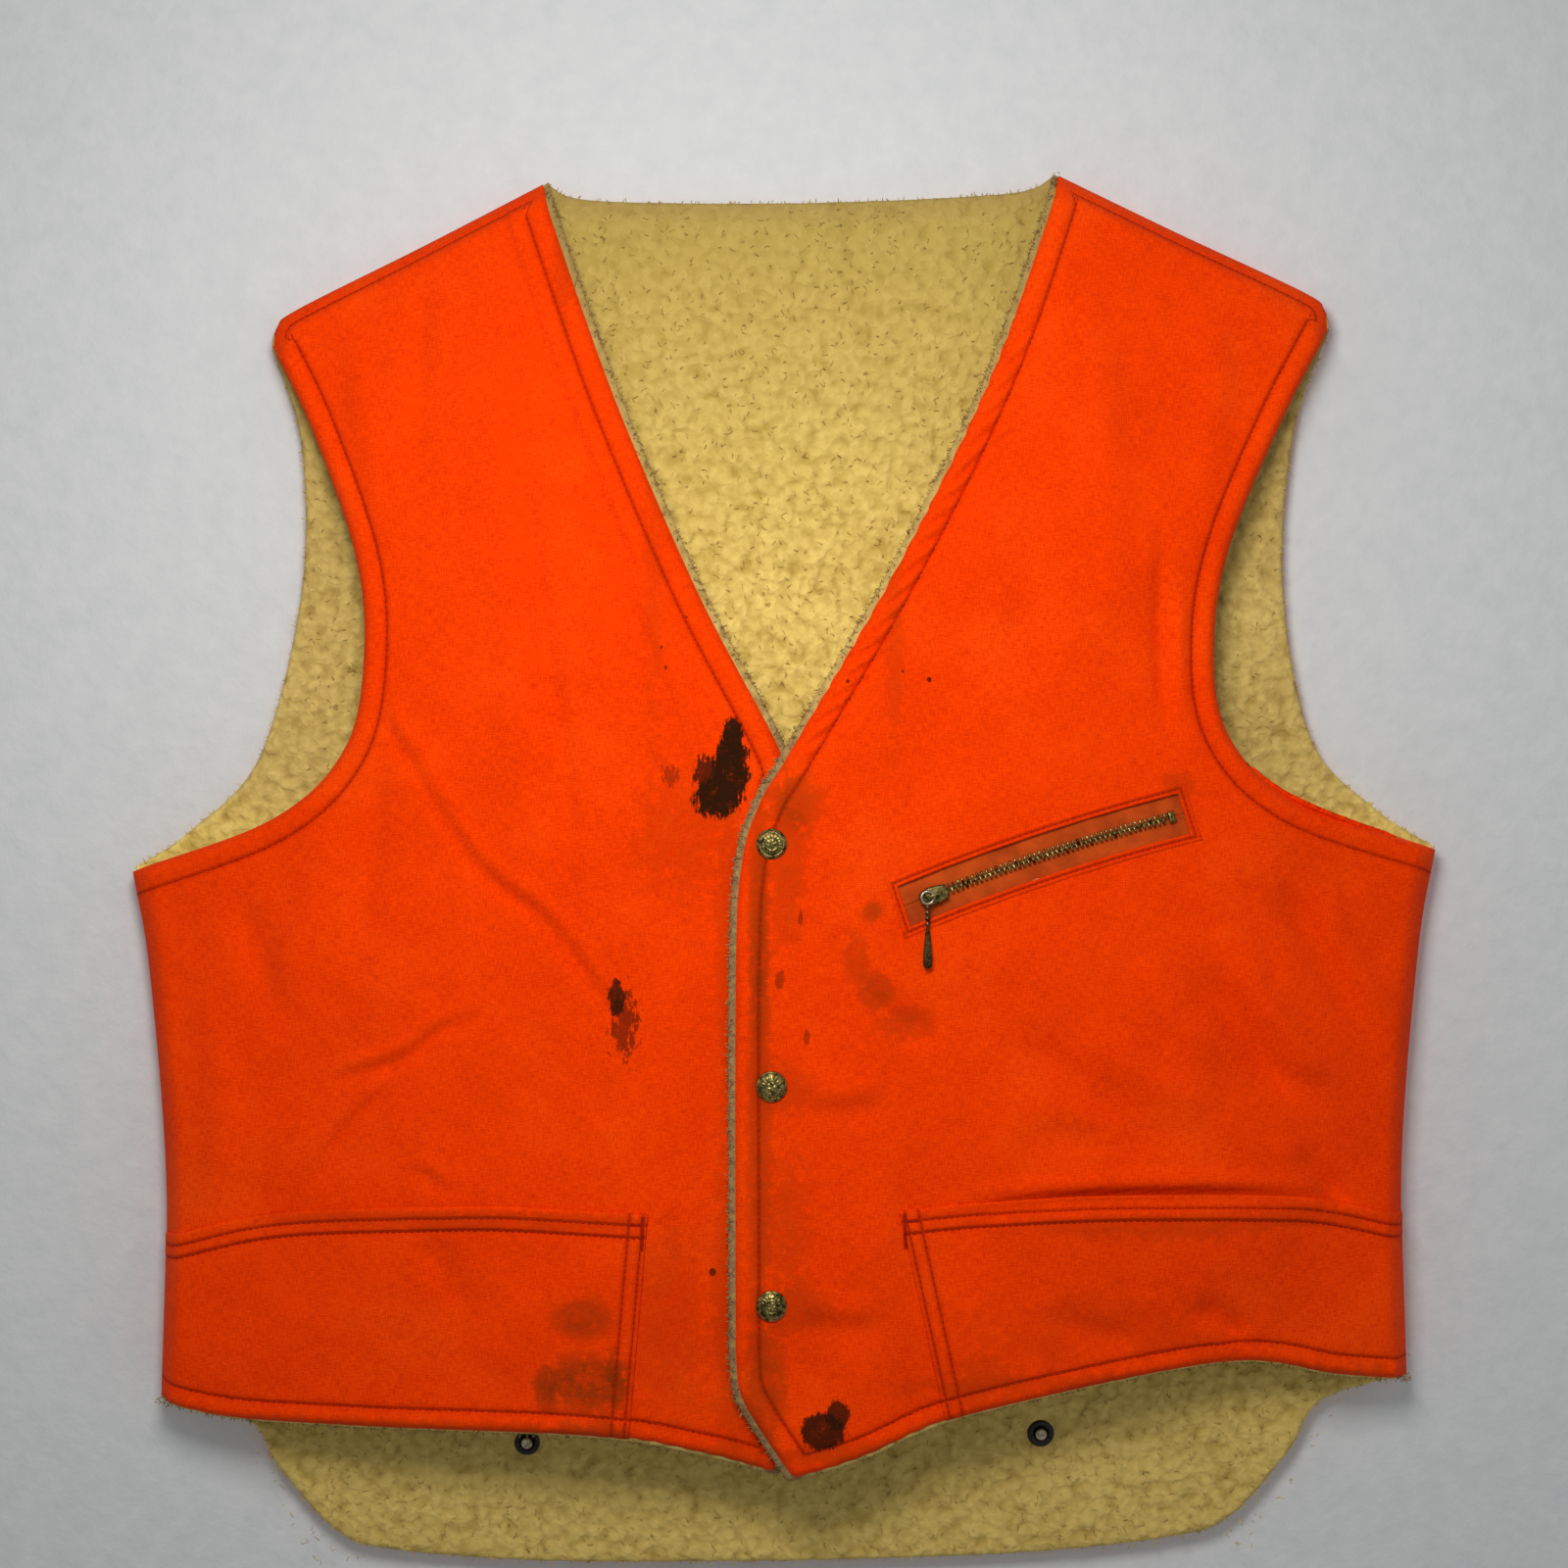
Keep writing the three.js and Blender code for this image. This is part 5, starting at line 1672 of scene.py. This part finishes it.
# Blocks with cut corners as one mesh. Each has a centre, a half size and how much is cut.
def blocks(items):
    vertices, faces = [], []
    for centre, half, cut in items:
        start = len(vertices)
        for depth_sign in (-1, 1):
            for inset in ((1, 0) if depth_sign < 0 else (0, 1)):
                y = centre[1] + depth_sign * (half[1] - (0 if inset else cut))
                w, h = half[0] - cut * inset, half[2] - cut * inset
                c = cut * 0.6
                ring = [(-w, -h + c), (-w, h - c), (-w + c, h), (w - c, h),
                        (w, h - c), (w, -h + c), (w - c, -h), (-w + c, -h)]
                vertices += [(centre[0] + a, y, centre[2] + b) for a, b in ring]
        faces += ring_faces(4, 8, start)
        faces.append(tuple(start + k for k in range(7, -1, -1)))
        faces.append(tuple(start + 24 + k for k in range(8)))
    return vertices, faces


TOOTH_PITCH = 2.5
CHAIN_FROM, CHAIN_TO = -58, 64.5
STOP_AT = 66.4
ARCH_STEPS = 12


def make_tapes():
    for name, sign in (("upper", 1), ("lower", -1)):
        run = np.linspace(-ZIP_WINDOW[0] / 2 - 4, ZIP_WINDOW[0] / 2 + 4, 90)
        rise = np.linspace(-0.15, 13.6, 12)
        local = np.zeros((len(rise), len(run), 3))
        local[..., 0] = run[None]
        local[..., 2] = sign * rise[:, None]
        local[..., 1] = 0.25 + 0.12 * np.sin(run[None] / 9 + rise[:, None] / 5)
        local[..., 1] -= 0.35 * bell(rise[:, None] - 0.8, 0.9)
        local[..., 2] += window_bow(run)[None]
        faces = grid_faces(len(rise), len(run), flip=sign < 0)
        made = zip_object(f"tape_{name}_look", local.reshape(-1, 3), faces, TAPE)
        solidify(made, 0.6)
        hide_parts(f"zip_tape_{name}")


def make_chain():
    for name, sign in (("upper", 1), ("lower", -1)):
        items = []
        count = int((CHAIN_TO - CHAIN_FROM) / TOOTH_PITCH)
        for k in range(count):
            run = CHAIN_FROM + (k + (0.5 if sign > 0 else 0)) * TOOTH_PITCH
            lift = window_bow(run)
            items.append(((run, -0.85, sign * 1.3 + lift), (0.62, 0.8, 1.35), 0.25))
            items.append(((run, -0.9, sign * 0.1 + lift), (0.75, 0.6, 0.55), 0.22))
        vertices, faces = blocks(items)
        made = zip_object(f"chain_{name}_look", vertices, faces, BRASS)
        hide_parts(f"zip_chain_{name}")
    vertices, faces = blocks([((STOP_AT, -1.2, window_bow(STOP_AT)), (1.7, 1.0, 2.8), 0.5)])
    stop = zip_object("end_stop_look", vertices, faces, BRASS)
    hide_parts("zip_end_stop")


def make_slider():
    middle = box_mm("zip_slider").mean(axis=0)
    offset = float(np.dot(middle - ZIP_CENTRE, Vector(ZIP_AXIS).normalized()))
    outline = [(-7, 2.2), (-5.6, 3.2), (-2, 4.4), (2, 4.3), (5, 3.7), (7, 3.5)]
    outline += [(a, -b) for a, b in outline[::-1]]
    front, back = -3.9, -1.75
    layers = [(front, 0.82), (front + 0.35, 0.94), (front + 0.9, 1.0), (back, 1.0)]
    vertices = []
    count = len(outline)
    for y, share in layers:
        vertices += [(offset + a * (share if abs(a) > 5 else 1), y, b * share) for a, b in outline]
    faces = ring_faces(len(layers), count)
    faces.append(tuple(range(count))[::-1])
    faces.append(tuple(range(3 * count, 4 * count)))
    arch = []
    for k in range(ARCH_STEPS + 1):
        turn = math.pi * k / ARCH_STEPS
        arch.append((offset - 3.9 * math.cos(turn), front + 0.3 - 3.1 * math.sin(turn) ** 0.6))
    start = len(vertices)
    for k, (a, y) in enumerate(arch):
        before, after = arch[max(k - 1, 0)], arch[min(k + 1, ARCH_STEPS)]
        heading = np.array([after[0] - before[0], after[1] - before[1]])
        heading /= np.linalg.norm(heading)
        normal = np.array([-heading[1], heading[0]])
        for p, q in ((-1, -1), (1, -1), (1, 1), (-1, 1)):
            spot = np.array([a, y]) + normal * 0.45 * q
            vertices.append((spot[0], spot[1], 0.75 * p))
    faces += ring_faces(len(arch), 4, start)
    faces.append((start + 3, start + 2, start + 1, start))
    faces.append(tuple(start + 4 * ARCH_STEPS + m for m in range(4)))
    made = zip_object("slider_look", vertices, faces, BRASS, "zip_slider")
    bevel = made.modifiers.new("soft", "BEVEL")
    bevel.width = 0.00022
    bevel.segments = 2
    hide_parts("zip_slider")


# The pull: an eye, a beaded neck and a long flat drop, hanging straight down from the slider.
def make_pull():
    joint = next(j for j in frame["joints"] if j["name"] == "zip_pull_swing")
    pivot = np.array(joint["pos_m"]) / MM
    out = -np.array(ZIP_NORMAL)
    turn = math.atan(ZIP_SLOPE)
    along_x = np.array([math.cos(turn), math.sin(turn), 0.0])
    down = np.array([0.0, 0.0, -1.0])
    vertices, faces = [], []

    def ring_tube(radius, thick, steps=36, sides=10):
        start = len(vertices)
        for i in range(steps):
            a = math.tau * i / steps
            for k in range(sides):
                b = math.tau * k / sides
                r = radius + thick * math.cos(b)
                spot = pivot + along_x * (r * math.cos(a)) - down * (r * math.sin(a))
                vertices.append(spot + out * (thick * 0.8 * math.sin(b)))
        for i in range(steps):
            here, there = start + i * sides, start + (i + 1) % steps * sides
            for k in range(sides):
                beside_k = (k + 1) % sides
                faces.append((here + k, here + beside_k, there + beside_k, there + k))

    def shaft(stations, sides=14):
        start = len(vertices)
        for drop, wide, thick in stations:
            for k in range(sides):
                b = math.tau * k / sides
                vertices.append(
                    pivot + down * drop + along_x * (wide * math.cos(b)) + out * (thick * math.sin(b))
                )
        rows = len(stations)
        for i in range(rows - 1):
            for k in range(sides):
                a, b = start + i * sides + k, start + i * sides + (k + 1) % sides
                faces.append((a, a + sides, b + sides, b))
        faces.append(tuple(start + k for k in range(sides)))
        last = start + (rows - 1) * sides
        faces.append(tuple(last + k for k in range(sides - 1, -1, -1)))

    ring_tube(3.0, 0.75)
    eye = add_object("pull_eye_look", vertices, faces, PALE_BRASS)
    vertices, faces = [], []
    neck = [(2.9, 0.6, 0.5)]
    for k in range(4):
        top = 3.6 + 2.7 * k
        neck += [(top, 0.62, 0.5), (top + 0.6, 1.15, 0.8)]
        neck += [(top + 1.35, 1.3, 0.85), (top + 2.1, 1.0, 0.7)]
    neck += [(14.6, 0.75, 0.55), (17, 1.15, 0.55), (22, 1.7, 0.5), (27, 2.2, 0.5)]
    neck += [(31, 2.35, 0.5), (33, 2.1, 0.45), (34.2, 1.4, 0.35), (34.5, 0.4, 0.2)]
    shaft(neck)
    made = add_object("pull_look", vertices, faces, BRONZE)
    for piece in (eye, made):
        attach(piece, "zip_pull")
    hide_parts("zip_pull")


def make_bag():
    low, high = (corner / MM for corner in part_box("chest_pocket_bag"))
    x = np.linspace(low[0] + 1, high[0] - 1, 40)
    z = np.linspace(low[2] + 1, high[2] - 1, 36)
    places = np.stack(np.meshgrid(x, z), axis=-1)
    flat = places.reshape(-1, 2)
    y = -soft_depth("left", flat) + 2.1 + 0.15 * ripple(flat[:, 0], flat[:, 1], 40, 81)
    made = sheet_object("chest_bag", places, y, TWILL, False, 0.4)
    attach(made, "left_front")
    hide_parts("chest_pocket_bag")


# ---- Studio ----
# A pale paint that is only seen from its front, and lets light from behind it through.
def paint_material():
    nodes = Nodes("pale_paint")
    place = nodes.object_place()
    orange_peel = nodes.noise(place, 90, 4, 0.6)
    colour = nodes.mix(nodes.ranged(orange_peel, 0.3, 0.7), (0.60, 0.61, 0.61), (0.65, 0.655, 0.65))
    nodes.finish(colour, 0.8, nodes.bump(orange_peel, 0.25, 0.004))
    rays = nodes.add("ShaderNodeLightPath")
    behind = nodes.add("ShaderNodeNewGeometry").outputs["Backfacing"]
    passing = nodes.maths("ADD", rays.outputs["Is Shadow Ray"], rays.outputs["Is Diffuse Ray"])
    clear = nodes.maths("MINIMUM", nodes.maths("ADD", passing, behind), 1.0)
    glass = nodes.add("ShaderNodeBsdfTransparent")
    either = nodes.add("ShaderNodeMixShader")
    nodes.join(clear, either.inputs[0])
    nodes.join(nodes.shader.outputs[0], either.inputs[1])
    nodes.join(glass.outputs[0], either.inputs[2])
    nodes.join(either.outputs[0], nodes.tree.nodes["Material Output"].inputs["Surface"])
    return nodes.material


WALL_GAP = 4
FLOOR = -1150
STUDIO_SIZE = 5000
CHEST = Vector((0, 0, -0.33))


def make_studio():
    paint = paint_material()
    size = STUDIO_SIZE
    for name, near, far, high in (("floor", -size, WALL_GAP, FLOOR), ("wall", WALL_GAP, WALL_GAP, size)):
        corners = [(-size, near, FLOOR), (size, near, FLOOR), (size, far, high), (-size, far, high)]
        add_object(name, corners, [(0, 1, 2, 3)], paint, False)
    world = bpy.data.worlds.new("studio")
    world.use_nodes = True
    sky = world.node_tree.nodes["Background"]
    sky.inputs["Color"].default_value = (0.93, 0.97, 1.0, 1)
    sky.inputs["Strength"].default_value = 0.30
    bpy.context.scene.world = world
    lamps = (
        ("key", (-0.07, -0.70, -0.02), 0.26, 4.3, (1.0, 0.985, 0.96)),
        ("fill", (1.2, -1.6, -0.1), 1.4, 2.0, (0.95, 0.97, 1.0)),
        ("left_side", (2.2, -0.4, 0.3), 1.2, 1.6, (1.0, 1.0, 1.0)),
        ("right_side", (-2.2, -0.4, 0.3), 1.2, 2.6, (1.0, 1.0, 1.0)),
        ("rear", (0.3, 1.7, 0.5), 1.6, 18, (1.0, 1.0, 1.0)),
    )
    for name, place, size, power, colour in lamps:
        data = bpy.data.lights.new(name, "AREA")
        data.size = size
        data.energy = power
        data.color = colour
        lamp = bpy.data.objects.new(name, data)
        lamp.location = place
        lamp.visible_camera = False
        aim = CHEST - Vector(place)
        lamp.rotation_euler = aim.to_track_quat("-Z", "Y").to_euler()
        bpy.context.collection.objects.link(lamp)
    bpy.context.scene.view_settings.view_transform = "Standard"


make_camera()
make_studio()
make_back_shell()
make_back_lining()
for side_name in SIDES:
    make_front_shell(side_name)
    make_front_lining(side_name)
    make_pocket(side_name)
    make_stitches(side_name)
    make_tail_snap(side_name)
make_back_stitches()
make_edge_curls()
make_face_curls()
for snap_number in (1, 2, 3):
    make_front_snap(snap_number)
make_tapes()
make_chain()
make_slider()
make_pull()
make_bag()
make_window_edge()
